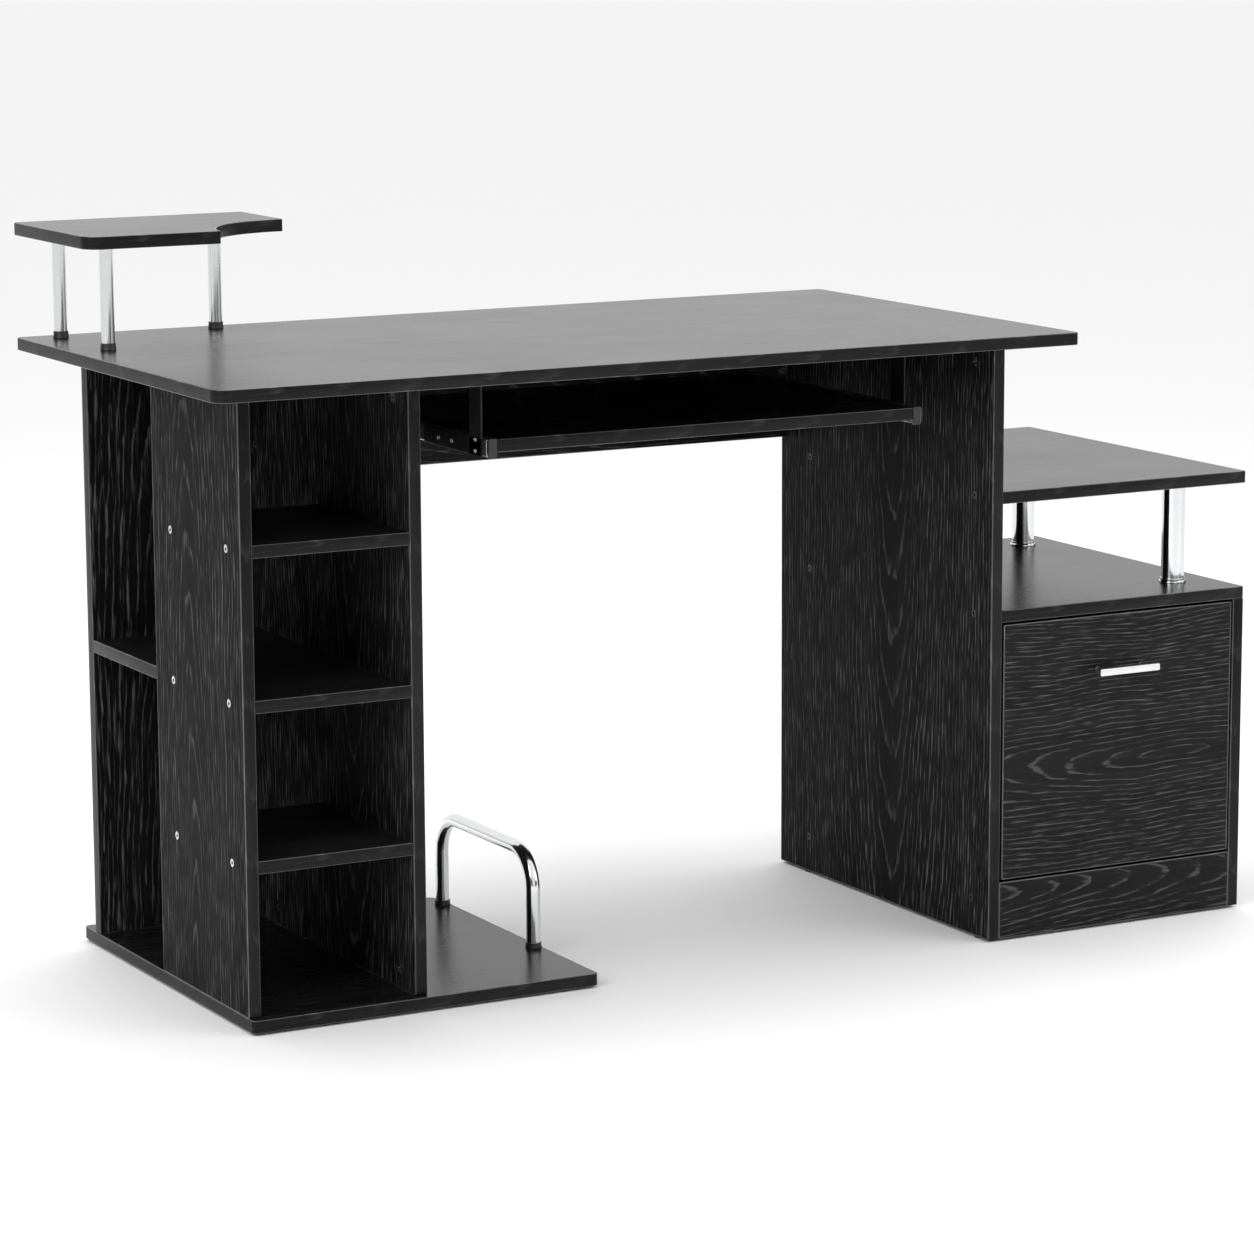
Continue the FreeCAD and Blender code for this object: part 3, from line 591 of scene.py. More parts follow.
TOP = WoodFinish("melamine_top", ring_spacing=0.016, lines=0.1, pores=0.1, pore_fineness=420.0, specular=0.24,
                 roughness=0.25, roughness_spread=0.02, arch_tilt=0.03, pore_depth=0.000003, marks=0.03)
SHELF = WoodFinish("melamine_shelf", lines=0.2, pores=0.2, specular=0.15, roughness=0.36, arch_tilt=0.03)
PANEL = WoodFinish("melamine_panel", ring_spacing=0.0065, lines=0.5, pores=0.7, pore_fineness=330.0,
                   specular=0.025, roughness=0.45)
FRONT = WoodFinish("melamine_front", ring_spacing=0.006, arch_tilt=0.11, lines=0.6, pores=0.45,
                   pore_fineness=480.0)
BAND = WoodFinish("edge_band", lines=0.1, pores=0.35, bands=0.1, roughness=0.3, marks=0.02)
# Rounded rims of every board: real extra gloss from the high specular, plus a painted highlight, a lighter
# dark colour that makes each rim read as a bright line.
GLOSSY_RIM_PAINTED_HIGHLIGHT = WoodFinish("glossy_rim_painted_highlight", dark=(0.03, 0.03, 0.03), pores=0.6, specular=1.0, roughness=0.22)
BOX_BOARD = WoodFinish("drawer_board", lines=0.2, pores=0.25, roughness=0.5)
HARDBOARD = CoatFinish("hardboard", (0.012, 0.0105, 0.009), (0.042, 0.036, 0.029), 0.62, 0.00012, 0.12)
CHROME = MetalFinish("chrome_plate", (0.8, 0.805, 0.81), (0.72, 0.73, 0.74), 0.1, 0.05, 700.0, 0.0000015)
SATIN = MetalFinish("satin_nickel", (0.83, 0.83, 0.82), (0.7, 0.7, 0.7), 0.22, 0.1, 1400.0)
NICKEL = MetalFinish("nickel_screw", (0.74, 0.72, 0.69), (0.6, 0.58, 0.55), 0.2, 0.12, 2500.0)
ZINC = MetalFinish("zinc_plate", (0.6, 0.61, 0.63), (0.48, 0.49, 0.52), 0.27, 0.12, 1200.0)
CAM_ALLOY = MetalFinish("dark_cam", (0.09, 0.09, 0.092), (0.05, 0.05, 0.05), 0.34, 0.12, 1600.0)
# Inside of the screws' hexagon sockets: a near-black coat that is painted shade for the dark recess, not the
# plating's own colour.
SOCKET_PAINTED_SHADE = CoatFinish("socket_painted_shade", (0.006, 0.006, 0.006), (0.014, 0.013, 0.012), 0.6)
PLASTIC = CoatFinish("black_plastic", (0.006, 0.006, 0.006), (0.01, 0.01, 0.01), 0.42, specular=0.08)
STEEL_PAINT = CoatFinish("black_powder_coat", (0.01, 0.01, 0.0105), (0.017, 0.017, 0.018), 0.34, 0.00003)
SCREW_PAINT = CoatFinish("black_screw_head", (0.007, 0.007, 0.007), (0.013, 0.013, 0.013), 0.3, 0.00001)


# Surfaces


@dataclass
class Surface:
    """Grids and caps gathered into one closed mesh, with a grain map in metres."""

    points: list[np.ndarray] = field(default_factory=list)
    faces: list[list[int]] = field(default_factory=list)
    grain: list[np.ndarray] = field(default_factory=list)
    slots: list[int] = field(default_factory=list)
    smooth: list[bool] = field(default_factory=list)
    count: int = 0

    def _add(self, points: np.ndarray, faces: np.ndarray, grain: np.ndarray, slot: int, smooth: bool) -> None:
        """Adds faces of one kind.

        Args:
            points: the new points, (n, 3).
            faces: indices into points, (m, corners), counter-clockwise from outside.
            grain: grain map of the points, (n, 2).
            slot: material slot of the faces.
            smooth: whether the faces are shaded smooth.
        """
        self.points.append(points)
        self.faces += (faces + self.count).tolist()
        self.grain.append(grain[faces].reshape(-1, 2))
        self.slots += [slot] * len(faces)
        self.smooth += [smooth] * len(faces)
        self.count += len(points)

    def grid(self, grid: np.ndarray, grain: np.ndarray, slot: int = 0, flip: bool = False) -> None:
        """Adds a surface of two parameters, sampled on a grid.

        Args:
            grid: points, (rows, columns, 3). A closed surface repeats its first column at its end.
            grain: grain map, (rows, columns, 2).
            slot: material slot.
            flip: whether the other side is the outside.
        """
        rows, columns = grid.shape[:2]
        index = np.arange(rows * columns).reshape(rows, columns)
        quads = np.stack([index[:-1, :-1], index[1:, :-1], index[1:, 1:], index[:-1, 1:]], -1).reshape(-1, 4)
        quads = quads[:, ::-1] if flip else quads
        self._add(grid.reshape(-1, 3), quads, grain.reshape(-1, 2), slot, True)

    def cap(self, loops: Sequence[np.ndarray], grain: np.ndarray, normal: np.ndarray, slot: int = 0) -> None:
        """Fills a flat outline, less the holes in it, with triangles.

        Args:
            loops: the outline and then its holes, each (n, 3) and not repeating its first point.
            grain: grain map of all the loops' points in order, (n, 2).
            normal: the way the cap faces.
            slot: material slot.
        """
        points = np.concatenate(loops)
        triangles = np.array(tessellate_polygon([[Vector(p) for p in loop] for loop in loops]))
        a, b, c = (points[triangles[:, i]] for i in range(3))
        backwards = np.cross(b - a, c - a) @ normal < 0
        triangles[backwards] = triangles[backwards][:, ::-1]
        self._add(points, triangles, grain, slot, False)

    def build(self, name: str, materials: Sequence[bpy.types.Material]) -> bpy.types.Object:
        """Welds what was added into one object at the origin.

        Args:
            name: the object's name.
            materials: its material slots.

        Returns:
            The object, linked to the scene.
        """
        mesh = bpy.data.meshes.new(name)
        mesh.from_pydata(np.concatenate(self.points).tolist(), [], self.faces)
        layer = mesh.uv_layers.new(name="grain")
        layer.data.foreach_set("uv", np.concatenate(self.grain).astype(np.float32).ravel())
        mesh.polygons.foreach_set("material_index", self.slots)
        mesh.polygons.foreach_set("use_smooth", self.smooth)
        for material in materials:
            mesh.materials.append(material)
        welded = bmesh.new()
        welded.from_mesh(mesh)
        bmesh.ops.remove_doubles(welded, verts=welded.verts, dist=WELD)
        bmesh.ops.dissolve_degenerate(welded, edges=welded.edges, dist=WELD)
        welded.to_mesh(mesh)
        welded.free()
        mesh.set_sharp_from_angle(angle=SHARP_ANGLE)
        made = bpy.data.objects.new(name, mesh)
        bpy.context.scene.collection.objects.link(made)
        return made


def arc(centre: Sequence[float], radius: float, start: float, end: float, steps: int) -> np.ndarray:
    """Points of a flat arc: centre plus radius times (cos, sin) of evenly spaced angles.

    Args:
        centre: the arc's centre.
        radius: its radius.
        start: first angle in degrees.
        end: last angle in degrees.
        steps: number of chords.

    Returns:
        Points, (steps + 1, 2).
    """
    angles = np.radians(np.linspace(start, end, steps + 1))
    return np.array(centre) + radius * np.stack([np.cos(angles), np.sin(angles)], -1)


def round_corners(corners: np.ndarray, radii: Sequence[float], steps: int = 6) -> np.ndarray:
    """Closed outline whose corners are replaced by arcs that touch both sides.

    Each arc is a turn of the first side's normal into the second's, about a point that lies one radius from
    both sides. It works for inward corners too.

    Args:
        corners: corner points, (n, 2), counter-clockwise.
        radii: radius at each corner.
        steps: chords of each arc.

    Returns:
        Points of the outline, (m, 2).
    """
    before = corners - np.roll(corners, 1, 0)
    after = np.roll(corners, -1, 0) - corners
    before /= np.linalg.norm(before, axis=1, keepdims=True)
    after /= np.linalg.norm(after, axis=1, keepdims=True)
    turn = np.arctan2(before[:, 0] * after[:, 1] - before[:, 1] * after[:, 0], (before * after).sum(1))
    pieces = []
    for corner, radius, first, angle in zip(corners, radii, before, turn):
        side = math.copysign(1.0, angle)
        left = np.array([-first[1], first[0]]) * side
        tangent = abs(radius * math.tan(angle / 2))
        centre = corner - first * tangent + left * radius
        swing = np.linspace(0.0, angle, steps + 1)
        cosine, sine = np.cos(swing), np.sin(swing)
        x = -left[0] * cosine + left[1] * sine
        y = -left[0] * sine - left[1] * cosine
        pieces.append(centre + radius * np.stack([x, y], -1))
    return np.concatenate(pieces)


def mitres(outline: np.ndarray) -> np.ndarray:
    """Outward offset of each point of a closed counter-clockwise outline for an offset of one.

    It is the sum of the two sides' normals over one plus their product, which keeps both sides parallel.

    Args:
        outline: points, (n, 2).

    Returns:
        Offsets, (n, 2).
    """
    sides = np.roll(outline, -1, 0) - outline
    sides /= np.linalg.norm(sides, axis=1, keepdims=True)
    normals = np.stack([sides[:, 1], -sides[:, 0]], -1)
    previous = np.roll(normals, 1, 0)
    return (normals + previous) / (1 + (normals * previous).sum(1, keepdims=True))


def ribbon(line: np.ndarray, thickness: float) -> np.ndarray:
    """Closed outline of a strip of even thickness about an open line.

    Args:
        line: points of its middle line, (n, 2).
        thickness: the strip's thickness.

    Returns:
        Outline, counter-clockwise, (2n, 2).
    """
    sides = np.diff(line, axis=0)
    sides /= np.linalg.norm(sides, axis=1, keepdims=True)
    normals = np.stack([-sides[:, 1], sides[:, 0]], -1)
    first = np.concatenate([normals[:1], normals])
    second = np.concatenate([normals, normals[-1:]])
    offset = (first + second) / (1 + (first * second).sum(1, keepdims=True)) * thickness / 2
    outline = np.concatenate([line - offset, (line + offset)[::-1]])
    x, y = outline.T
    area = (x * np.roll(y, -1) - np.roll(x, -1) * y).sum()
    return outline if area > 0 else outline[::-1]


@dataclass(frozen=True)
class Pocket:
    """Round pocket in a board's face."""

    centre: np.ndarray
    radius: float
    depth: float


@dataclass
class Slab:
    """Flat outline carried through a thickness, with rounded rims and, on a board, the edge band's seam.

    A rim is a profile of (inset, height) rows. Each row is the outline moved in by the inset, so the wall is
    a function of the way round and the way down.
    """

    low: np.ndarray
    high: np.ndarray
    thick: Axis
    grain: Axis
    outline: np.ndarray | None = None
    corner: float = 1.9 * MM
    rim: float = 0.8 * MM
    seam: bool = True
    pockets: Sequence[Pocket] = ()
    arch: tuple[float, float] = (0.5, 0.5)

    seam_inset: float = 1.2 * MM
    seam_width: float = 0.3 * MM
    seam_depth: float = 0.12 * MM
    rim_steps: int = 5
    pocket_steps: int = 28

    def _axes(self) -> tuple[int, int, int]:
        """Indices of the two axes of the outline and of the thickness, right-handed."""
        t = self.thick.value
        return (t + 1) % 3, (t + 2) % 3, t

    def _profile(self) -> np.ndarray:
        """Rows of (inset, height under the top) from the top face to the bottom face.

        Returns:
            Rows, (n, 2).
        """
        thickness = (self.high - self.low)[self.thick.value]
        quarter = arc((self.rim, -self.rim), self.rim, 90, 180, self.rim_steps)
        top = quarter
        if self.seam:
            outer = self.seam_inset + self.seam_width
            lip = self.seam_width * 0.3
            groove = [(outer, 0.0), (outer - lip, -self.seam_depth)]
            groove += [(self.seam_inset + lip, -self.seam_depth), (self.seam_inset, 0.0)]
            top = np.concatenate([groove, quarter])
        bottom = (top * (1, -1))[::-1] - (0, thickness)
        return np.concatenate([top, bottom])

    def _grain_of(self, points: np.ndarray) -> np.ndarray:
        """Grain map of points on a face: metres along the grain and across it, from the arch's place.

        Args:
            points: points, (..., 3).

        Returns:
            Grain map, (..., 2).
        """
        along = self.grain.value
        across = next(i for i in self._axes()[:2] if i != along)
        ways = [along, across]
        return points[..., ways] - (self.low[ways] + (self.high - self.low)[ways] * self.arch)

    def add_to(self, surface: Surface, face_slot: int = 0, band_slot: int = 1, rim_slot: int = 2) -> None:
        """Adds the slab's wall, faces and pockets to a surface.

        Args:
            surface: the surface that is being gathered.
            face_slot: material slot of the two faces.
            band_slot: material slot of the wall.
            rim_slot: material slot of the rounded rims.
        """
        a, b, t = self._axes()
        outline = self.outline
        if outline is None:
            (x0, y0), (x1, y1) = self.low[[a, b]], self.high[[a, b]]
            square = np.array([(x0, y0), (x1, y0), (x1, y1), (x0, y1)])
            outline = round_corners(square, [self.corner] * 4)
        profile = self._profile()
        top = self.high[t]
        rows = outline[None] - mitres(outline)[None] * profile[:, None, :1]
        grid = np.zeros((*rows.shape[:2], 3))
        grid[..., [a, b]] = rows
        grid[..., t] = top + profile[:, 1:]
        steps = np.linalg.norm(np.roll(outline, -1, 0) - outline, axis=1)
        around = np.concatenate([[0.0], np.cumsum(steps)])
        down = np.concatenate([[0.0], np.cumsum(np.linalg.norm(np.diff(profile, axis=0), axis=1))])
        closed = np.concatenate([grid, grid[:, :1]], 1)
        band = np.stack(np.broadcast_arrays(around[None], down[:, None]), -1)
        half = len(profile) // 2
        for part, slot in ((slice(0, half), rim_slot), (slice(half - 1, half + 1), band_slot),
                           (slice(half, None), rim_slot)):
            surface.grid(closed[part], band[part], slot)
        for row, level, sign in ((0, top, 1.0), (-1, self.low[t], -1.0)):
            here = [p for p in self.pockets if abs(p.centre[t] - level) < self.corner]
            holes = [self._rim_of(pocket, level) for pocket in here]
            loops = [grid[row]] + holes
            surface.cap(loops, self._grain_of(np.concatenate(loops)), self.thick.vector(sign), face_slot)
            for pocket, hole in zip(here, holes):
                self._sink(surface, pocket, hole, sign, band_slot)

    def _rim_of(self, pocket: Pocket, level: float) -> np.ndarray:
        """Circle where a pocket opens in the face at a level.

        Args:
            pocket: the pocket.
            level: place of the face along the thickness.

        Returns:
            Points, (n, 3).
        """
        a, b, t = self._axes()
        flat = arc(pocket.centre[[a, b]], pocket.radius, 0, 360, self.pocket_steps)[:-1]
        hole = np.zeros((len(flat), 3))
        hole[:, [a, b]] = flat
        hole[:, t] = level
        return hole

    def _sink(self, surface: Surface, pocket: Pocket, hole: np.ndarray, sign: float, slot: int) -> None:
        """Adds a pocket's wall and floor.

        Args:
            surface: the surface that is being gathered.
            pocket: the pocket.
            hole: the circle of its mouth.
            sign: 1 on the upper face and -1 on the lower face.
            slot: material slot of the wall and floor.
        """
        floor = hole - self.thick.vector(sign) * pocket.depth
        wall = np.stack([np.concatenate([ring, ring[:1]]) for ring in (hole, floor)])
        surface.grid(wall, wall[..., :2] * 0.0 + pocket.depth, slot, flip=sign > 0)
        surface.cap([floor], floor[:, :2] * 0.0, self.thick.vector(sign), slot)


def plain_slab(surface: Surface, low: np.ndarray, high: np.ndarray, thick: Axis, grain: Axis,
               **shape: object) -> None:
    """Adds a slab that has no edge band and is of one material.

    Args:
        surface: the surface that is being gathered.
        low: lowest corner of its box.
        high: highest corner.
        thick: the way its thickness lies.
        grain: the way its grain map runs.
        shape: further fields of the slab.
    """
    Slab(low, high, thick, grain, seam=False, **shape).add_to(surface, 0, 0, 0)


def turn_about(profile: np.ndarray, foot: np.ndarray, axis: np.ndarray, steps: int = 48) -> np.ndarray:
    """Surface of revolution: each (radius, height) row swung about an axis.

    Args:
        profile: rows of (radius, height), from the start of the outside to its end.
        foot: point on the axis at height 0.
        axis: unit vector of the axis.
        steps: chords around.

    Returns:
        Grid, (rows, steps + 1, 3).
    """
    across = np.roll(axis, 1)
    other = np.cross(axis, across)
    angles = np.linspace(0.0, 2 * math.pi, steps + 1)
    ring = np.cos(angles)[:, None] * across + np.sin(angles)[:, None] * other
    return foot + profile[:, None, :1] * ring[None] + profile[:, None, 1:] * axis


def turned_size(low: np.ndarray, high: np.ndarray, axis: Axis,
                sign: float) -> tuple[float, float, np.ndarray]:
    """Size and foot of a round solid.

    Args:
        low: lowest corner of its box.
        high: highest corner.
        axis: the way it is turned about.
        sign: 1 if its foot is at the low end of the axis, -1 if at the high end.

    Returns:
        Its radius, its length and its foot's centre.
    """
    foot = (low + high) / 2
    foot[axis.value] = (low if sign > 0 else high)[axis.value]
    across = 1 if axis is Axis.X else 0
    return float((high - low)[across]) / 2, float((high - low)[axis.value]), foot


def flat_grain(grid: np.ndarray) -> np.ndarray:
    """Grain map of a grid in metres: the way along its rows and the way along its columns.

    Args:
        grid: points, (rows, columns, 3).

    Returns:
        Grain map, (rows, columns, 2).
    """
    rows = np.linalg.norm(np.diff(grid, axis=0), axis=-1).max(1)
    columns = np.linalg.norm(np.diff(grid, axis=1), axis=-1).max(0)
    down = np.concatenate([[0.0], np.cumsum(rows)])
    around = np.concatenate([[0.0], np.cumsum(columns)])
    return np.stack(np.broadcast_arrays(down[:, None], around[None]), -1)


def lathe(surface: Surface, profile: Sequence, foot: np.ndarray, axis: np.ndarray, slot: int = 0,
          steps: int = 48) -> None:
    """Adds a turned piece to a surface, from its far pole round the outside to its near pole.

    Args:
        surface: the surface that is being gathered.
        profile: rows of (radius, height). They run from the top to the foot.
        foot: point on the axis at height 0.
        axis: unit vector of the axis.
        slot: material slot.
        steps: chords around.
    """
    grid = turn_about(np.array(profile, float), foot, axis, steps)
    surface.grid(grid, flat_grain(grid), slot)


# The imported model


class Workshop:
    """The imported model, and the way a new piece stands for its nodes."""

    def __init__(self, frame: dict) -> None:
        """Reads the bodies and slots of the model.
        """
        record = frame["record"]
        self.nodes: dict[str, bpy.types.Object] = frame["nodes"]
        bodies = record["behaviour"]["bodies"]
        self.body = {node: body for body, members in bodies.items() for node in members}
        self.slot = {part["node"]: part["material_slot"] for part in record["subparts"]}

    @staticmethod
    def box(node: str) -> Box:
        """Lowest and highest corner of a node."""
        low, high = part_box(node)
        return np.array(low), np.array(high)

    def points(self, node: str) -> np.ndarray:
        """Points of a node's mesh, (n, 3).

        Args:
            node: the node's name.

        Returns:
            The points.
        """
        mesh = self.nodes[node].data
        flat = np.zeros(len(mesh.vertices) * 3, np.float32)
        mesh.vertices.foreach_get("co", flat)
        return flat.reshape(-1, 3).astype(float)

    def solids(self, node: str) -> list[Box]:
        """Boxes of the separate solids of a node.

        Each triangle gives its corners the lowest label among them, until no label changes, so that a label
        ends up on exactly one solid.

        Args:
            node: the node's name.

        Returns:
            A (lowest, highest) pair for each solid, ordered by their centres.
        """
        mesh = self.nodes[node].data
        points = self.points(node)
        corners = np.zeros(len(mesh.loops), np.int32)
        mesh.loops.foreach_get("vertex_index", corners)
        _, same = np.unique(np.round(points / (5 * WELD)), axis=0, return_inverse=True)
        triangles = same.reshape(-1)[corners].reshape(-1, 3)
        labels = np.arange(same.max() + 1)
        while True:
            lowest = labels[triangles].min(1)
            settled = labels.copy()
            np.minimum.at(settled, triangles.ravel(), np.repeat(lowest, 3))
            settled = settled[settled]
            if (settled == labels).all():
                break
            labels = settled
        of_point = labels[same.reshape(-1)]
        found = [(points[of_point == k].min(0), points[of_point == k].max(0)) for k in np.unique(of_point)]
        return sorted(found, key=lambda pair: tuple(np.round((pair[0] + pair[1]) / 2, 4)))

    def stand_in(self, piece: bpy.types.Object, *nodes: str) -> bpy.types.Object:
        """Makes a new piece ride on the body of the nodes it replaces, and hides those nodes.

        Args:
            piece: the finished piece.
            nodes: the nodes that it stands for, all of one body.

        Returns:
            The piece.
        """
        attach(piece, self.body[nodes[0]])
        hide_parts(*nodes)
        LOG.info("%s stands for %s on %s", piece.name, ", ".join(nodes), self.body[nodes[0]])
        return piece

    def install(self, surface: Surface, node: str, made_by: str, *finishes: PlainFinish) -> None:
        """Builds a gathered surface as the piece that stands for a node.

        Args:
            surface: the gathered surface.
            node: the node's name.
            made_by: the way it is made, which ends the piece's name.
            finishes: finishes of its material slots, in order.
        """
        materials = [finish.material() for finish in finishes]
        self.stand_in(surface.build(f"{node}_{made_by}", materials), node)

    def near(self, node: str, pockets: Iterable[Pocket]) -> list[Pocket]:
        """The pockets that open in one of the two faces, along X, of a panel's box.

        Args:
            node: the node's name.
            pockets: the pockets to choose from.

        Returns:
            Those pockets.
        """
        low, high = self.box(node)
        inside = [p for p in pockets if (p.centre >= low - MM).all() and (p.centre <= high + MM).all()]
        return [p for p in inside if min(abs(p.centre[0] - low[0]), abs(p.centre[0] - high[0])) < MM / 2]

    def dress(self, node: str, material: bpy.types.Material) -> None:
        """Gives a node that stays a better material.

        Args:
            node: the node's name.
            material: its material.
        """
        shown = self.nodes[node]
        shown.data.materials.clear()
        shown.data.materials.append(material)
        LOG.info("%s keeps its own shape", node)


@dataclass
class BoardMaker:
    """Makes the boards: each has its own print on its faces, and all share one edge band."""

    shop: Workshop
    made: int = 0
    seed_step: float = 3.7
    sheet_rim: float = 0.3 * MM

    def make(self, node: str, finish: WoodFinish, grain: Axis, thick: Axis, **shape: object) -> None:
        """Builds the board that stands for a node.

        Args:
            node: the node's name.
            finish: finish of its faces.
            grain: the way the grain runs.
            thick: the way its thickness lies.
            shape: further fields of the slab, such as its outline or pockets.
        """
        self.made += 1
        low, high = self.shop.box(node)
        surface = Surface()
        Slab(low, high, thick, grain, **shape).add_to(surface)
        # Slot 1 is the edge band; slot 2, the rounded rims, takes the glossy finish whose lighter colour is a
        # painted highlight.
        edges = [bpy.data.materials.get(edge.name + "_all") or edge.material("all", 0.0)
                 for edge in (BAND, GLOSSY_RIM_PAINTED_HIGHLIGHT)]
        face = finish.material(node, self.made * self.seed_step)
        self.shop.stand_in(surface.build(node + "_board", [face, *edges]), node)

    def sheet(self, node: str, grain: Axis, thick: Axis) -> None:
        """Builds the thin hardboard sheet that stands for a node, with its grain and thickness as given.

        Args:
            node: the node's name.
            grain: the way its grain runs.
            thick: the way its thickness lies.
        """
        surface = Surface()
        plain_slab(surface, *self.shop.box(node), thick, grain, rim=self.sheet_rim, corner=2 * self.sheet_rim)
        self.shop.install(surface, node, "sheet", HARDBOARD)


class HeadStyle(Enum):
    """How the head of a panel screw is finished."""

    NICKEL = "nickel"
    BLACK = "black"


@dataclass
class PanelScrews:
    """Screws with a sunk head and a hexagon socket, one for each solid of a node."""

    node: str
    style: HeadStyle
    pocket_clearance: float = 0.12 * MM
    head_radius: float = 5.0 * MM
    head_depth: float = 1.5 * MM
    shank_radius: float = 2.5 * MM
    socket_radius: float = 2.0 * MM
    socket_depth: float = 2.6 * MM
    tip: float = 3.0 * MM

    def heads(self, shop: Workshop) -> list[tuple[np.ndarray, np.ndarray]]:
        """Where each head's face is, and the way that it faces: the head is the wide end of its solid.

        Args:
            shop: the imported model.

        Returns:
            A (centre, unit vector) pair for each screw.
        """
        points = shop.points(self.node)
        found = []
        for low, high in shop.solids(self.node):
            mine = points[((points >= low - WELD) & (points <= high + WELD)).all(1)]
            wide = np.abs(mine[:, 1] - (low[1] + high[1]) / 2) > self.head_radius * 0.8
            towards = 1.0 if mine[wide, 0].mean() > (low[0] + high[0]) / 2 else -1.0
            found.append((turned_size(low, high, Axis.X, -towards)[2], Axis.X.vector(towards)))
        return found

    def pockets(self, shop: Workshop, side: float | None = None) -> list[Pocket]:
        """Pockets for the heads, all of them or those that face one way along X.

        Args:
            shop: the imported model.
            side: 1 or -1 for the heads that face that way along X, or None for all.

        Returns:
            The pockets.
        """
        radius = self.head_radius + self.pocket_clearance
        heads = self.heads(shop)
        return [Pocket(centre, radius, self.head_depth) for centre, facing in heads
                if side is None or facing[0] == side]

    def build(self, shop: Workshop) -> None:
        """Builds every screw of the node as one piece.

        The head is a surface of revolution whose inner rows are drawn in to a hexagon: the radius at an
        angle is a mix of a circle's and a hexagon's.

        Args:
            shop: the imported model.
        """
        plated = NICKEL if self.style is HeadStyle.NICKEL else SCREW_PAINT
        surface = Surface()
        angles = np.linspace(0.0, 2 * math.pi, 49)
        hexagon = math.cos(math.pi / 6) / np.cos(angles % (math.pi / 3) - math.pi / 6)
        length = turned_size(*shop.solids(self.node)[0], Axis.X, 1.0)[1]
        socket = self.socket_radius
        for centre, facing in self.heads(shop):
            inside = [(0.0, -self.socket_depth, 1), (socket, -self.socket_depth, 1), (socket, -0.3 * MM, 1)]
            outside = [(socket, -0.3 * MM, 1), (socket + 0.4 * MM, 0.0, 0)]
            outside += [(self.head_radius - 0.7 * MM, 0.0, 0), (self.head_radius - 0.2 * MM, -0.12 * MM, 0)]
            outside += [(self.head_radius, -0.4 * MM, 0), (self.head_radius, -self.head_depth, 0)]
            outside += [(self.shank_radius, -self.head_depth, 0), (self.shank_radius, self.tip - length, 0)]
            outside += [(0.4 * MM, -length, 0), (0.0, -length, 0)]
            # Slot 1, the socket's inside rows, takes the near-black finish that paints shade into the recess.
            for rows, slot in ((inside, 1), (outside, 0)):
                profile = np.array(rows, float)
                grid = turn_about(profile[:, :2], centre, facing)
                middle = centre + facing * profile[:, None, 1:2]
                pull = 1 + profile[:, 2, None, None] * (hexagon[None, :, None] - 1)
                grid = middle + (grid - middle) * pull
                surface.grid(grid, flat_grain(grid), slot)
        shop.install(surface, self.node, "turned", plated, SOCKET_PAINTED_SHADE)


@dataclass
class CamLocks:
    """Cam discs with a raised rim and a cross-shaped slot, one for each solid of a node."""

    node: str = "cam_locks"
    slot_depth: float = 1.6 * MM
    slot_half_width: float = 1.1 * MM
    slot_reach: float = 5.0 * MM
    slot_edge: float = 0.12 * MM
    rim_width: float = 0.7 * MM
    rim_drop: float = 0.25 * MM
    clearance: float = 0.1 * MM

    def pockets(self, shop: Workshop) -> list[Pocket]:
        """Pockets for the discs, with both ends of each given, so that a board takes the one on its face.

        Args:
            shop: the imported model.

        Returns:
            The pockets.
        """
        found = []
        for low, high in shop.solids(self.node):
            for sign in (1.0, -1.0):
                radius, depth, end = turned_size(low, high, Axis.X, sign)
                found.append(Pocket(end, radius + self.clearance, depth))
        return found

    def build(self, shop: Workshop, left_face: float) -> None:
        """Builds every disc as one piece.

        The face is a height over a disc: a cross is sunk where the smaller of |x| and |y| is under half
        the slot's width and the larger is under its reach, and each edge is a steep smooth step.

        Args:
            shop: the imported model.
            left_face: place along X of the face whose discs look to the right. All others look to the left.
        """
        surface = Surface()
        for low, high in shop.solids(self.node):
            facing = 1.0 if abs(high[0] - left_face) < self.clearance else -1.0
            radius, depth, centre = turned_size(low, high, Axis.X, -facing)
            radii = np.linspace(0.0, radius - self.rim_width, 34)
            profile = np.stack([radii, radii * 0.0], -1)
            flat = turn_about(profile, np.zeros(3), Axis.X.vector(), 96)
            x, y = np.abs(flat[..., 1]), np.abs(flat[..., 2])
            narrow = (self.slot_half_width - np.minimum(x, y)) / self.slot_edge
            near = (self.slot_reach - np.maximum(x, y)) / self.slot_edge
            sunk = 1 / (1 + np.exp(-np.clip(narrow, -30, 30))) / (1 + np.exp(-np.clip(near, -30, 30)))
            face = turn_about(profile, centre, Axis.X.vector(facing), 96)
            face -= (self.rim_drop + self.slot_depth * sunk)[..., None] * Axis.X.vector(facing)
            surface.grid(face, flat_grain(face), 0)
            rim = [(radius - self.rim_width, -self.rim_drop), (radius - self.rim_width * 0.8, 0.0)]
            rim += [(radius - 0.15 * MM, 0.0), (radius, -0.2 * MM), (radius, -depth), (0.0, -depth)]
            lathe(surface, rim, centre, Axis.X.vector(facing), 0, 96)
        shop.install(surface, self.node, "turned", CAM_ALLOY)


# Sub-assemblies


@dataclass
class RoundTube:
    """Straight post between two heights, with a small chamfer at each end."""

    node: str
    finish: MetalFinish
    chamfer: float = 0.5 * MM
    rows: int = 12

    def build(self, shop: Workshop) -> None:
        """Builds the post as a surface of revolution.

        Args:
            shop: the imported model.
        """
        radius, height, foot = turned_size(*shop.box(self.node), Axis.Z, 1.0)
        levels = np.linspace(height - self.chamfer, self.chamfer, self.rows)
        profile = [(0.0, height), (radius - self.chamfer, height)]
        profile += [(radius, level) for level in levels]
        profile += [(radius - self.chamfer, 0.0), (0.0, 0.0)]
        surface = Surface()
        lathe(surface, profile, foot, Axis.Z.vector(), steps=72)
        shop.install(surface, self.node, "turned", self.finish)


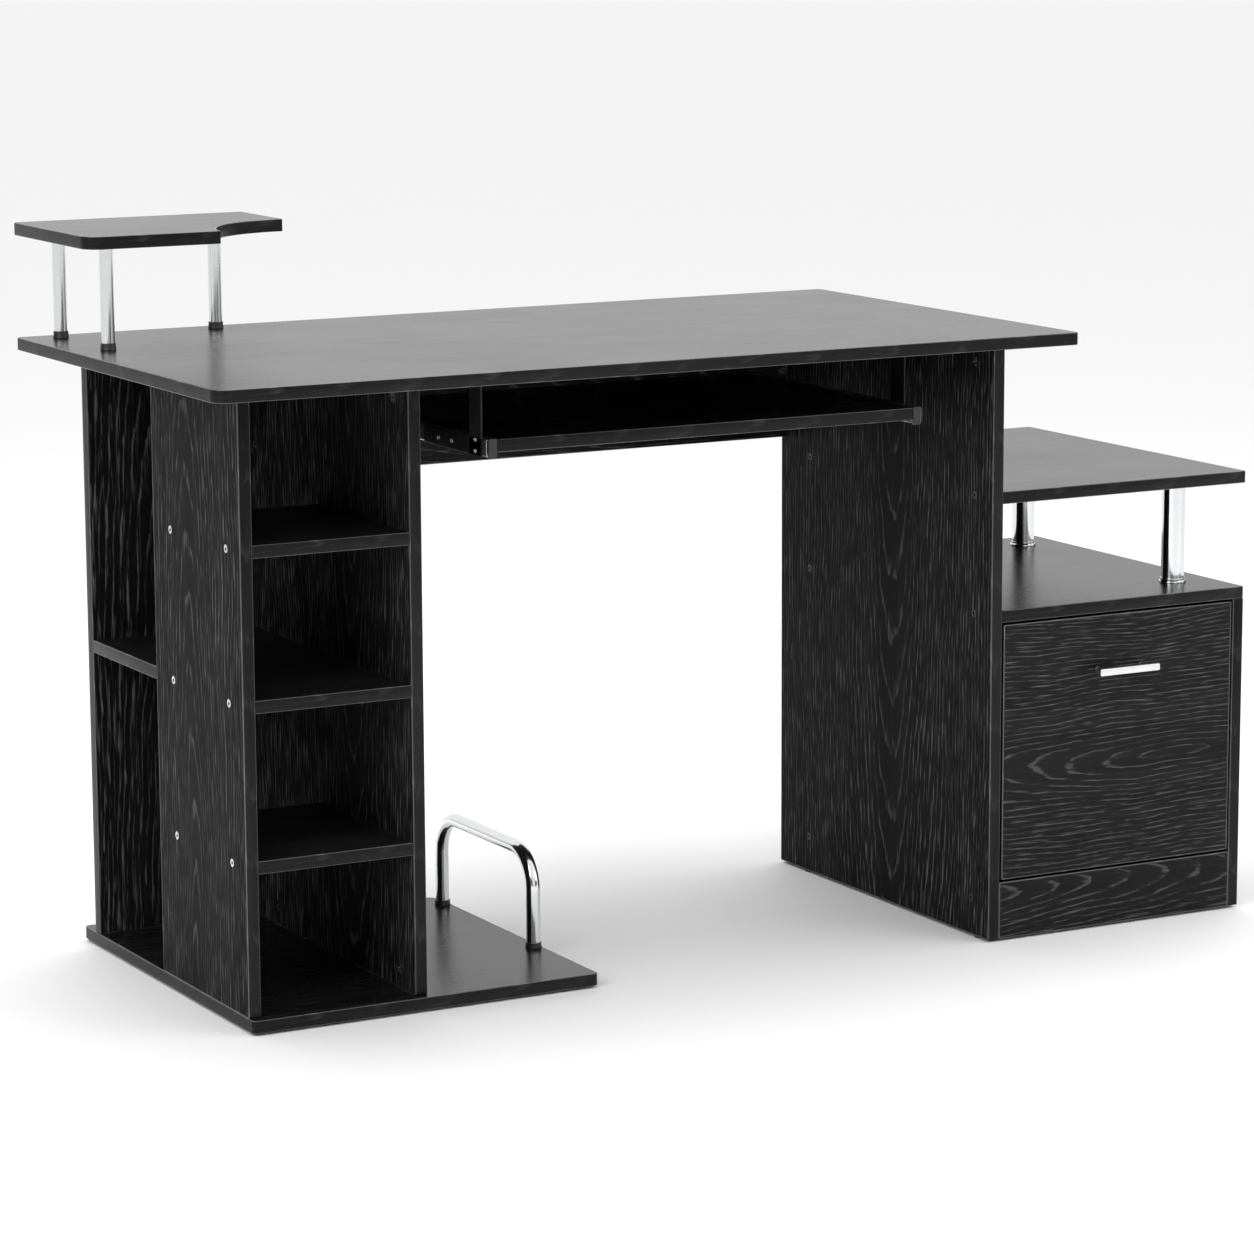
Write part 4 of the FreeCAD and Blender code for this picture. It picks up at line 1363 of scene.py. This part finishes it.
@dataclass
class Rings:
    """Collars or flanges round posts: a flared ring that stands on a board or hangs under one."""

    node: str
    post: str
    board: str
    finish: PlainFinish
    flare: float
    round_over: float
    step: float = 0.0

    def build(self, shop: Workshop) -> None:
        """Builds every ring of the node: those at the board's top stand on it, and others hang.

        Args:
            shop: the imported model.
        """
        surface = Surface()
        bore = turned_size(*shop.box(self.post), Axis.Z, 1.0)[0]
        level = shop.box(self.board)[1][2]
        for low, high in shop.solids(self.node):
            side = 1.0 if abs(low[2] - level) < MM else -1.0
            radius, height, foot = turned_size(low, high, Axis.Z, side)
            neck = radius - self.flare
            rounded = arc((neck - self.round_over, height - self.round_over), self.round_over, 90, 0, 6)
            profile = [(bore, 0.0), (bore, height), *rounded.tolist()]
            if self.step:
                profile += [(neck, height * 0.55), (neck + self.step, height * 0.48)]
                profile += [(radius - 0.3 * MM, height * 0.42), (radius, height * 0.3)]
            else:
                profile += [(neck + self.flare * 0.3, height * 0.35)]
            profile += [(radius, 0.3 * MM), (radius - 0.3 * MM, 0.0), (bore, 0.0)]
            lathe(surface, profile, foot, Axis.Z.vector(side), steps=64)
        shop.install(surface, self.node, "turned", self.finish)


@dataclass
class DeskTop:
    """The desktop, with its front left corner clearly rounded."""

    big_corner: float = 20 * MM
    small_corner: float = 6 * MM

    def build(self, boards: BoardMaker) -> None:
        """Builds the desktop's board.

        Args:
            boards: the board maker.
        """
        low, high = boards.shop.box("desktop")
        square = np.array([(low[0], low[1]), (high[0], low[1]), (high[0], high[1]), (low[0], high[1])])
        radii = [self.big_corner] + [self.small_corner] * 3
        outline = round_corners(square, radii, 16)
        boards.make("desktop", TOP, Axis.X, Axis.Z, outline=outline, arch=(-0.6, 0.35))


@dataclass
class RaisedShelf:
    """Screen shelf with a scooped front, on three chrome posts with black collars."""

    big_corner: float = 20 * MM
    small_corner: float = 6 * MM
    end_depth: float = 122 * MM
    scoop: float = 130 * MM

    def outline(self, low: np.ndarray, high: np.ndarray) -> np.ndarray:
        """Outline with the scoop: an arc about a point in front of the shallow right end.

        Args:
            low: lowest corner of the shelf's box.
            high: highest corner.

        Returns:
            Points, counter-clockwise.
        """
        end_front = high[1] - self.end_depth
        centre = (high[0], end_front - self.scoop)
        lift = low[1] - centre[1]
        start = math.degrees(math.pi - math.asin(lift / self.scoop))
        big, small = self.big_corner, self.small_corner
        return np.concatenate([
            arc((low[0] + big, low[1] + big), big, 180, 270, 16),
            arc(centre, self.scoop, start, 90, 36),
            arc((high[0] - small, high[1] - small), small, 0, 90, 8),
            arc((low[0] + small, high[1] - small), small, 90, 180, 8),
        ])

    def build(self, boards: BoardMaker) -> None:
        """Builds the shelf, its posts and their collars.

        Args:
            boards: the board maker.
        """
        shop = boards.shop
        low, high = shop.box("raised_shelf")
        outline = self.outline(low, high)
        boards.make("raised_shelf", TOP, Axis.X, Axis.Z, outline=outline, arch=(1.4, 0.5))
        for place in ("rear_left", "front_left", "right"):
            RoundTube("raised_shelf_post_" + place, CHROME).build(shop)
        Rings("raised_shelf_post_collars", "raised_shelf_post_right", "desktop", PLASTIC, 0.7 * MM,
              0.6 * MM).build(shop)


@dataclass
class Tower:
    """Bookcase tower: three upright panels, three shelves, and the fittings in them."""

    def build(self, boards: BoardMaker, cams: CamLocks) -> None:
        """Builds the tower's boards and screws.

        Args:
            boards: the board maker.
            cams: the cam locks, whose pockets the panels take.
        """
        shop = boards.shop
        left = PanelScrews("tower_left_screws", HeadStyle.NICKEL)
        right = PanelScrews("tower_right_screws", HeadStyle.NICKEL)
        stretcher = PanelScrews("stretcher_screws", HeadStyle.NICKEL)
        sunk = cams.pockets(shop)
        boards.make("tower_left_panel", PANEL, Axis.Z, Axis.X, arch=(-0.1, 0.6),
                    pockets=left.pockets(shop) + shop.near("tower_left_panel", sunk))
        boards.make("tower_right_panel", PANEL, Axis.Z, Axis.X, arch=(1.2, 0.35),
                    pockets=right.pockets(shop) + stretcher.pockets(shop, -1.0)
                    + shop.near("tower_right_panel", sunk))
        boards.make("tower_back_panel", PANEL, Axis.Z, Axis.Y, arch=(-0.2, 0.5))
        for place in ("top", "low"):
            boards.make(f"tower_{place}_shelf", SHELF, Axis.X, Axis.Z, arch=(1.5, 0.5))
        boards.make("tower_middle_shelf", SHELF, Axis.X, Axis.Z, outline=self._l_shape(shop), arch=(1.8, 0.4))
        left.build(shop)
        right.build(shop)

    @staticmethod
    def _l_shape(shop: Workshop) -> np.ndarray:
        """Outline of the middle shelf, which is wider behind the short left panel.

        Args:
            shop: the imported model.

        Returns:
            Points, (n, 2).
        """
        low, high = shop.box("tower_middle_shelf")
        panel_low, panel_high = shop.box("tower_left_panel")
        inner, back = panel_high[0], panel_high[1]
        corners = [(inner, low[1]), (high[0], low[1]), (high[0], high[1]), (low[0], high[1])]
        corners += [(low[0], back), (inner, back)]
        return round_corners(np.array(corners), [Slab.corner] * 6)


@dataclass
class Base:
    """Base board with its computer wing, the bent guard bar, and the glides."""

    wing_depth: float = 440 * MM
    big_corner: float = 20 * MM
    small_corner: float = 6 * MM
    bar_bend: float = 46 * MM
    bar_wall: float = 1.5 * MM
    glide_round: float = 1.0 * MM
    glide_dimple: float = 2.2 * MM
    glide_nail_depth: float = 0.8 * MM

    def build(self, boards: BoardMaker) -> None:
        """Builds the board, the bar with its collars, and the glides.

        Args:
            boards: the board maker.
        """
        shop = boards.shop
        low, high = shop.box("base_board")
        tower_right = shop.box("tower_right_panel")[1][0]
        wing_back = low[1] + self.wing_depth
        corners = [(low[0], low[1]), (high[0], low[1]), (high[0], wing_back)]
        corners += [(tower_right, wing_back), (tower_right, high[1]), (low[0], high[1])]
        small, big = self.small_corner, self.big_corner
        outline = round_corners(np.array(corners), [small, small, big, big, small, small], 12)
        boards.make("base_board", TOP, Axis.X, Axis.Z, outline=outline, arch=(-0.8, 0.6))
        self._guard_bar(shop)
        Rings("guard_bar_collars", "guard_bar", "base_board", PLASTIC, 0.5 * MM, 0.5 * MM).build(shop)
        self._glides(shop)

    def _guard_bar(self, shop: Workshop) -> None:
        """Builds the bar: a circle carried along two legs, two quarter bends and a straight top.

        The circle lies in the plane of X and the path's own normal, which is X crossed with the tangent.

        Args:
            shop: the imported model.
        """
        low, high = shop.box("guard_bar")
        radius = float(high[0] - low[0]) / 2
        middle = (low[0] + high[0]) / 2
        front, rear = low[1] + radius, high[1] - radius
        top = high[2] - radius
        bend = self.bar_bend
        legs = np.linspace(low[2], top - bend, 4)[:-1]
        path = np.concatenate([
            np.stack([np.full(3, front), legs], -1),
            arc((front + bend, top - bend), bend, 180, 90, 20),
            arc((rear - bend, top - bend), bend, 90, 0, 20),
            np.stack([np.full(3, rear), legs[::-1]], -1),
        ])
        tangent = np.gradient(path, axis=0)
        tangent[0] = (0.0, 1.0)
        tangent[-1] = (0.0, -1.0)
        tangent /= np.linalg.norm(tangent, axis=1, keepdims=True)
        points = np.column_stack([np.full(len(path), middle), path])
        normal = np.column_stack([np.zeros(len(path)), -tangent[:, 1], tangent[:, 0]])
        angles = np.linspace(0.0, 2 * math.pi, 49)
        across = np.cos(angles)[:, None] * Axis.X.vector() + np.sin(angles)[:, None] * normal[:, None]
        outer, inner = (points[:, None] + size * across for size in (radius, radius - self.bar_wall))
        front_end, rear_end = (np.stack([inner[end], outer[end]]) for end in (0, -1))
        surface = Surface()
        for grid, flip in ((outer, False), (inner, True), (front_end, False), (rear_end, True)):
            surface.grid(grid, flat_grain(grid), 0, flip=flip)
        shop.install(surface, "guard_bar", "bent", CHROME)

    def _glides(self, shop: Workshop) -> None:
        """Builds the nail-on glides: low domed discs with a dimple for the nail.

        Args:
            shop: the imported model.
        """
        surface = Surface()
        for low, high in shop.solids("floor_glides"):
            radius, height, foot = turned_size(low, high, Axis.Z, -1.0)
            rounded = arc((radius - self.glide_round, height - self.glide_round), self.glide_round, 90, 0, 5)
            nail = height - self.glide_nail_depth
            profile = [(0.0, nail), (self.glide_dimple * 0.6, nail)]
            profile += [(self.glide_dimple, height), *rounded.tolist(), (radius, 0.0), (0.0, 0.0)]
            lathe(surface, profile, foot, Axis.Z.vector(-1.0), steps=36)
        shop.install(surface, "floor_glides", "moulded", PLASTIC)


@dataclass
class LegAndStretcher:
    """Full-height leg panel and the rear board that ties it to the tower."""

    def build(self, boards: BoardMaker, cams: CamLocks) -> None:
        """Builds both boards and their screws.

        Args:
            boards: the board maker.
            cams: the cam locks, whose pockets the leg panel takes.
        """
        shop = boards.shop
        leg = PanelScrews("leg_panel_screws", HeadStyle.BLACK)
        stretcher = PanelScrews("stretcher_screws", HeadStyle.NICKEL)
        near = shop.near("right_leg_panel", cams.pockets(shop))
        boards.make("right_leg_panel", PANEL, Axis.Z, Axis.X, arch=(1.3, 0.45),
                    pockets=leg.pockets(shop) + stretcher.pockets(shop, 1.0) + near)
        boards.make("rear_stretcher", FRONT, Axis.X, Axis.Y, arch=(1.2, 0.5))
        leg.build(shop)
        stretcher.build(shop)


@dataclass
class Cabinet:
    """Drawer cabinet on the right of the leg panel."""

    def build(self, boards: BoardMaker) -> None:
        """Builds the cabinet's boards and the screws in its side.

        Args:
            boards: the board maker.
        """
        shop = boards.shop
        side = PanelScrews("cabinet_side_screws", HeadStyle.NICKEL)
        boards.make("cabinet_top", TOP, Axis.X, Axis.Z, arch=(-0.4, 0.4))
        boards.make("cabinet_right_panel", PANEL, Axis.Z, Axis.X, arch=(-0.3, 0.5),
                    pockets=side.pockets(shop))
        boards.make("cabinet_bottom", SHELF, Axis.X, Axis.Z, arch=(1.2, 0.5))
        boards.make("cabinet_plinth", FRONT, Axis.X, Axis.Y, arch=(-0.7, 0.8))
        boards.sheet("cabinet_back", Axis.Z, Axis.Y)
        side.build(shop)


@dataclass
class PrinterShelf:
    """Upper shelf beside the desktop, on two thick chrome posts with stepped flanges."""

    def build(self, boards: BoardMaker) -> None:
        """Builds the shelf, its posts and their flanges.

        Args:
            boards: the board maker.
        """
        shop = boards.shop
        boards.make("printer_shelf", TOP, Axis.X, Axis.Z, arch=(1.3, 0.6))
        for place in ("front", "rear"):
            RoundTube("printer_shelf_post_" + place, CHROME).build(shop)
        Rings("printer_shelf_post_flanges", "printer_shelf_post_front", "cabinet_top", CHROME, 1.6 * MM,
              0.4 * MM, 0.8 * MM).build(shop)


@dataclass
class Drawer:
    """Drawer box with its inset front and bar handle."""

    handle_corner: float = 2.2 * MM
    handle_rim: float = 1.4 * MM
    foot_flare: float = 1.6 * MM
    foot_ring: float = 2.0 * MM

    def build(self, boards: BoardMaker) -> None:
        """Builds the drawer's boards, its bottom sheet, the handle and its feet.

        Args:
            boards: the board maker.
        """
        shop = boards.shop
        boards.make("drawer_front", FRONT, Axis.X, Axis.Y, arch=(0.75, 0.42))
        for place, thick in (("left_side", Axis.X), ("right_side", Axis.X), ("rear_wall", Axis.Y)):
            grain = Axis.X if thick is Axis.Y else Axis.Y
            boards.make("drawer_" + place, BOX_BOARD, grain, thick, arch=(1.1, 0.5))
        boards.sheet("drawer_bottom", Axis.X, Axis.Z)
        self._handle(shop)

    def _handle(self, shop: Workshop) -> None:
        """Builds the flat bar and the two turned feet behind it.

        Args:
            shop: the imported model.
        """
        bar = Surface()
        plain_slab(bar, *shop.box("drawer_handle"), Axis.Y, Axis.X, corner=self.handle_corner,
                   rim=self.handle_rim)
        shop.install(bar, "drawer_handle", "bar", SATIN)
        feet = Surface()
        for low, high in shop.solids("drawer_handle_feet"):
            radius, length, foot = turned_size(low, high, Axis.Y, -1.0)
            neck = radius - self.foot_flare
            profile = [(0.0, length), (neck, length), (neck, self.foot_ring + 1.5 * MM)]
            profile += [(radius - 0.4 * MM, self.foot_ring), (radius, self.foot_ring - 0.5 * MM)]
            profile += [(radius, 0.0), (0.0, 0.0)]
            lathe(feet, profile, foot, Axis.Y.vector(-1.0))
        shop.install(feet, "drawer_handle_feet", "turned", PLASTIC)


class Member(Enum):
    """The three nested channels of a runner, from the fixed side to the moving side."""

    FIXED = "fixed"
    MIDDLE = "middle"
    MOVING = "moving"


@dataclass
class Runner:
    """Ball-bearing runner: three sheet channels with rolled lips."""

    name: str
    support_is_low: bool
    sheet: float = 1.0 * MM
    bend: float = 1.6 * MM
    rim: float = 0.15 * MM

    def build(self, shop: Workshop) -> None:
        """Builds the three members."""
        for member in Member:
            self._member(shop, member)

    def _member(self, shop: Workshop, member: Member) -> None:
        """Builds one member: a bent ribbon in the plane of Z and X, carried along Y.

        Args:
            shop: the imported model.
            member: which of the three.
        """
        node = f"{self.name}_{member.value}_member"
        low, high = shop.box(node)
        web_is_low = self.support_is_low is not (member is Member.MOVING)
        web, lip = (low[0], high[0]) if web_is_low else (high[0], low[0])
        inward = 1.0 if web_is_low else -1.0
        half = self.sheet / 2
        z0, z1 = low[2] + half, high[2] - half
        x_web, x_lip = web + inward * half, lip - inward * half * 0.2
        bend = min(self.bend, (z1 - z0) / 4)
        turns = arc((0.0, 0.0), 1.0, 0, 90, 6)

        def corner(z: float, up: float) -> np.ndarray:
            """Bend between a lip and the web, from the lip's side, at the channel's top or foot.

            Args:
                z: the lip's middle height.
                up: 1 at the top, -1 at the foot.

            Returns:
                Points, (n, 2).
            """
            centre = np.array([z - up * bend, x_web + inward * bend])
            swing = np.stack([turns[:, 0] * up, -turns[:, 1] * inward], -1)
            return centre + bend * swing

        lower = corner(z0, -1.0)
        upper = corner(z1, 1.0)[::-1]
        line = np.concatenate([[(z0, x_lip)], lower, upper, [(z1, x_lip)]])
        surface = Surface()
        plain_slab(surface, low, high, Axis.Y, Axis.Z, outline=ribbon(line, self.sheet), rim=self.rim,
                   rim_steps=2)
        shop.install(surface, node, "rolled", ZINC)


@dataclass
class Tray:
    """Keyboard tray, and the sheet-steel hangers and rear brackets that hold its runners."""

    strip: float = 30 * MM
    sheet: float = 2.0 * MM
    bend: float = 3.0 * MM
    arm_height: float = 20 * MM
    arm_corner: float = 6.0 * MM
    rim: float = 0.35 * MM

    def build(self, boards: BoardMaker) -> None:
        """Builds the tray's board, hangers, brackets, end caps and small screws.

        Args:
            boards: the board maker.
        """
        shop = boards.shop
        boards.make("keyboard_tray", TOP, Axis.X, Axis.Z, arch=(-0.3, 0.4))
        for place in ("left", "right"):
            self._hanger(shop, place)
            self._rear_bracket(shop, place)
        self._caps(shop)
        self._screws(shop)

    def _side(self, place: str) -> float:
        """The way from the tray's edge to its hanger along X."""
        return -1.0 if place == "left" else 1.0

    def _elbow(self, side: float, inner: float, outer: float, start: float, end: float) -> np.ndarray:
        """Middle line of a strip that runs straight and then turns outwards through a quarter bend.

        Args:
            side: 1 if it turns towards +X, -1 if towards -X.
            inner: X of the strip's inner face.
            outer: X of its turned end.
            start: where the straight run starts, along it.
            end: the turned part's outer face, along the straight run.

        Returns:
            Points of (X, place along the run).
        """
        middle, level = inner + side * self.sheet / 2, end - self.sheet / 2
        quarter = arc((0.0, 0.0), 1.0, 0, 90, 6)
        bend = np.stack([middle + side * self.bend * (1 - quarter[:, 0]),
                         level - self.bend + self.bend * quarter[:, 1]], -1)
        return np.concatenate([[(middle, start)], bend, [(outer, level)]])

    def _hanger(self, shop: Workshop, place: str) -> None:
        """Builds one hanger: an upright strip bent over at the top, and an arm along the runner.

        Args:
            shop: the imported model.
            place: the side it is on, left or right.
        """
        node = "tray_hanger_" + place
        low, high = shop.box(node)
        side = self._side(place)
        inner, outer = (high[0], low[0]) if side < 0 else (low[0], high[0])
        line = self._elbow(side, inner, outer, low[2], high[2])[:, ::-1]
        strip_high = high.copy()
        strip_high[1] = low[1] + self.strip
        surface = Surface()
        plain_slab(surface, low, strip_high, Axis.Y, Axis.Z, outline=ribbon(line, self.sheet), rim=self.rim,
                   rim_steps=3)
        arm_low, arm_high = low.copy(), high.copy()
        arm_low[0], arm_high[0] = sorted((inner, inner + side * self.sheet))
        arm_high[2] = low[2] + self.arm_height
        corner = self.arm_corner
        square = np.array([(arm_low[1], arm_low[2]), (arm_high[1], arm_low[2]),
                           (arm_high[1], arm_high[2]), (arm_low[1], arm_high[2])])
        outline = round_corners(square, [1 * MM, corner, corner, 1 * MM])
        plain_slab(surface, arm_low, arm_high, Axis.X, Axis.Y, outline=outline, rim=self.rim)
        shop.install(surface, node, "pressed", STEEL_PAINT)

    def _rear_bracket(self, shop: Workshop, place: str) -> None:
        """Builds one rear bracket: a long arm bent round onto the stretcher.

        Args:
            shop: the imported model.
            place: the side it is on, left or right.
        """
        node = "tray_rear_bracket_" + place
        low, high = shop.box(node)
        side = self._side(place)
        inner, outer = (high[0], low[0]) if side < 0 else (low[0], high[0])
        outline = ribbon(self._elbow(side, inner, outer, low[1], high[1]), self.sheet)
        surface = Surface()
        plain_slab(surface, low, high, Axis.Z, Axis.X, outline=outline, rim=self.rim, rim_steps=3)
        shop.install(surface, node, "pressed", STEEL_PAINT)

    def _caps(self, shop: Workshop) -> None:
        """Builds the moulded caps over the runners' front ends.

        Args:
            shop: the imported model.
        """
        surface = Surface()
        for low, high in shop.solids("tray_runner_caps"):
            plain_slab(surface, low, high, Axis.Y, Axis.X, corner=1.6 * MM, rim=0.6 * MM)
        shop.install(surface, "tray_runner_caps", "moulded", PLASTIC)

    def _screws(self, shop: Workshop) -> None:
        """Builds the small domed screw heads on the brackets, each with a dimple in its middle.

        Args:
            shop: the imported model.
        """
        surface = Surface()
        tray_middle = float(sum(shop.box("keyboard_tray")[i][0] for i in (0, 1))) / 2
        for low, high in shop.solids("tray_bracket_screws"):
            facing = math.copysign(1.0, float(low[0]) - tray_middle)
            radius, height, foot = turned_size(low, high, Axis.X, facing)
            dome = [(radius * math.sin(t), height * math.cos(t)) for t in np.linspace(0.45, 1.45, 7)]
            profile = [(0.0, height * 0.3), (radius * 0.3, height * 0.3), *dome, (radius, 0.0), (0.0, 0.0)]
            lathe(surface, profile, foot, Axis.X.vector(facing), steps=32)
        shop.install(surface, "tray_bracket_screws", "turned", NICKEL)


# Studio


@dataclass(frozen=True)
class Lamp:
    """A soft rectangular lamp that looks at a point."""

    name: str
    place: tuple[float, float, float]
    target: tuple[float, float, float]
    size: tuple[float, float]
    power: float

    def build(self) -> None:
        """Adds the lamp to the scene, unseen by the camera."""
        data = bpy.data.lights.new(self.name, "AREA")
        data.shape = "RECTANGLE"
        data.size, data.size_y = self.size
        data.energy = self.power
        lamp = bpy.data.objects.new(self.name, data)
        aim = Vector(self.target) - Vector(self.place)
        lamp.matrix_world = Matrix.Translation(self.place) @ aim.to_track_quat("-Z", "Y").to_matrix().to_4x4()
        lamp.visible_camera = False
        bpy.context.scene.collection.objects.link(lamp)


@dataclass
class Studio:
    """Pale floor, soft surroundings, lamps and the camera."""

    floor_half_width: float = 60.0
    floor_color: Color = (0.93, 0.93, 0.93)
    floor_roughness: float = 0.75
    surroundings: float = 1.3
    dark_stretches: tuple[tuple[float, float], ...] = (
        (-62.0, 26.0), (75.0, 20.0), (150.0, 15.0), (-140.0, 12.0))
    dark_level: float = 0.1
    dark_fade: float = 12.0
    camera_target: tuple[float, float, float] = (-0.0595, -0.0460, 0.3937)
    camera_distance: float = 5.3
    camera_azimuth: float = 28.496
    camera_elevation: float = 10.153
    camera_roll: float = -0.25
    camera_lens: float = 126.06
    lamps: tuple[Lamp, ...] = (
        Lamp("key", (-3.4, -1.8, 2.4), (0.0, 0.0, 0.4), (2.2, 2.0), 50.0),
        Lamp("overhead", (0.2, 0.4, 3.4), (0.0, 0.0, 0.4), (3.0, 2.4), 60.0),
        Lamp("fill", (2.6, -3.4, 1.8), (0.2, 0.0, 0.4), (1.8, 1.8), 18.0),
    )

    def build(self) -> None:
        """Sets up everything round the desk."""
        self._camera()
        self._floor()
        self._world()
        for lamp in self.lamps:
            lamp.build()
        bpy.context.scene.view_settings.view_transform = "Standard"

    def _camera(self) -> None:
        """Adds the camera: it looks at the target from its distance, with no shift."""
        data = bpy.data.cameras.new("camera")
        data.lens = self.camera_lens
        data.clip_end = 200.0
        azimuth, elevation = math.radians(self.camera_azimuth), math.radians(self.camera_elevation)
        ahead = Vector((math.sin(azimuth) * math.cos(elevation), math.cos(azimuth) * math.cos(elevation),
                        -math.sin(elevation)))
        camera = bpy.data.objects.new("camera", data)
        place = Vector(self.camera_target) - ahead * self.camera_distance
        turn = ahead.to_track_quat("-Z", "Y").to_matrix().to_4x4()
        roll = Matrix.Rotation(math.radians(self.camera_roll), 4, "Z")
        camera.matrix_world = Matrix.Translation(place) @ turn @ roll
        bpy.context.scene.collection.objects.link(camera)
        bpy.context.scene.camera = camera

    def _floor(self) -> None:
        """Adds the floor: a large flat sheet with a plain pale finish."""
        half = self.floor_half_width
        mesh = bpy.data.meshes.new("floor")
        corners = [(-half, -half, 0), (half, -half, 0), (half, half, 0), (-half, half, 0)]
        mesh.from_pydata(corners, [], [(0, 1, 2, 3)])
        material = bpy.data.materials.new("floor_paint")
        material.use_nodes = True
        shader = material.node_tree.nodes["Principled BSDF"]
        shader.inputs["Base Color"].default_value = (*self.floor_color, 1.0)
        shader.inputs["Roughness"].default_value = self.floor_roughness
        mesh.materials.append(material)
        floor = bpy.data.objects.new("floor", mesh)
        bpy.context.scene.collection.objects.link(floor)

    def _world(self) -> None:
        """Surrounds the desk with soft light that is white to the eye and has darker stretches in mirrors.

        Each dark stretch lies where a direction's cosine to its azimuth, measured from the back towards the
        right, is high. It fades upwards by itself, since a raised direction has a smaller cosine.
        """
        world = bpy.data.worlds.new("surroundings")
        world.use_nodes = True
        bpy.context.scene.world = world
        w = Wiring(world.node_tree)
        shown = world.node_tree.nodes["Background"]
        shown.inputs["Strength"].default_value = 1.0
        shown.inputs["Color"].default_value = (1.0, 1.0, 1.0, 1.0)
        to_east, to_north, _ = w.split(w.node("ShaderNodeTexCoord").outputs["Generated"])
        level: Socket | float = 1.0
        for azimuth, half_width in self.dark_stretches:
            east, north = math.sin(math.radians(azimuth)), math.cos(math.radians(azimuth))
            towards = w.math("ADD", w.math("MULTIPLY", to_east, east), w.math("MULTIPLY", to_north, north))
            inner, outer = (math.cos(math.radians(half_width + fade)) for fade in (0.0, self.dark_fade))
            level = w.math("MULTIPLY", level, w.ramp(towards, outer, inner, 1.0, self.dark_level))
        room = w.node("ShaderNodeBackground")
        w.feed(room.inputs["Strength"], w.math("MULTIPLY", level, self.surroundings))
        mixed = w.node("ShaderNodeMixShader")
        path = w.node("ShaderNodeLightPath")
        w.feed(mixed.inputs[0], path.outputs["Is Camera Ray"])
        w.feed(mixed.inputs[1], room.outputs[0])
        w.feed(mixed.inputs[2], shown.outputs[0])
        w.feed(world.node_tree.nodes["World Output"].inputs["Surface"], mixed.outputs[0])


def main() -> None:
    """Builds every sub-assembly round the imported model, in order."""
    logging.basicConfig(level=logging.INFO, format="%(name)s: %(message)s")
    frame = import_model()
    shop = Workshop(frame)
    boards = BoardMaker(shop)
    cams = CamLocks()
    Studio().build()
    DeskTop().build(boards)
    RaisedShelf().build(boards)
    Tower().build(boards, cams)
    Base().build(boards)
    LegAndStretcher().build(boards, cams)
    Cabinet().build(boards)
    PrinterShelf().build(boards)
    Drawer().build(boards)
    Tray().build(boards)
    for name in ("tray_runner", "drawer_runner"):
        Runner(name + "_left", True).build(shop)
        Runner(name + "_right", False).build(shop)
    cams.build(shop, float(shop.box("tower_left_panel")[1][0]))
    shop.dress("cam_bolts", ZINC.material())


if __name__ == "__main__":
    main()
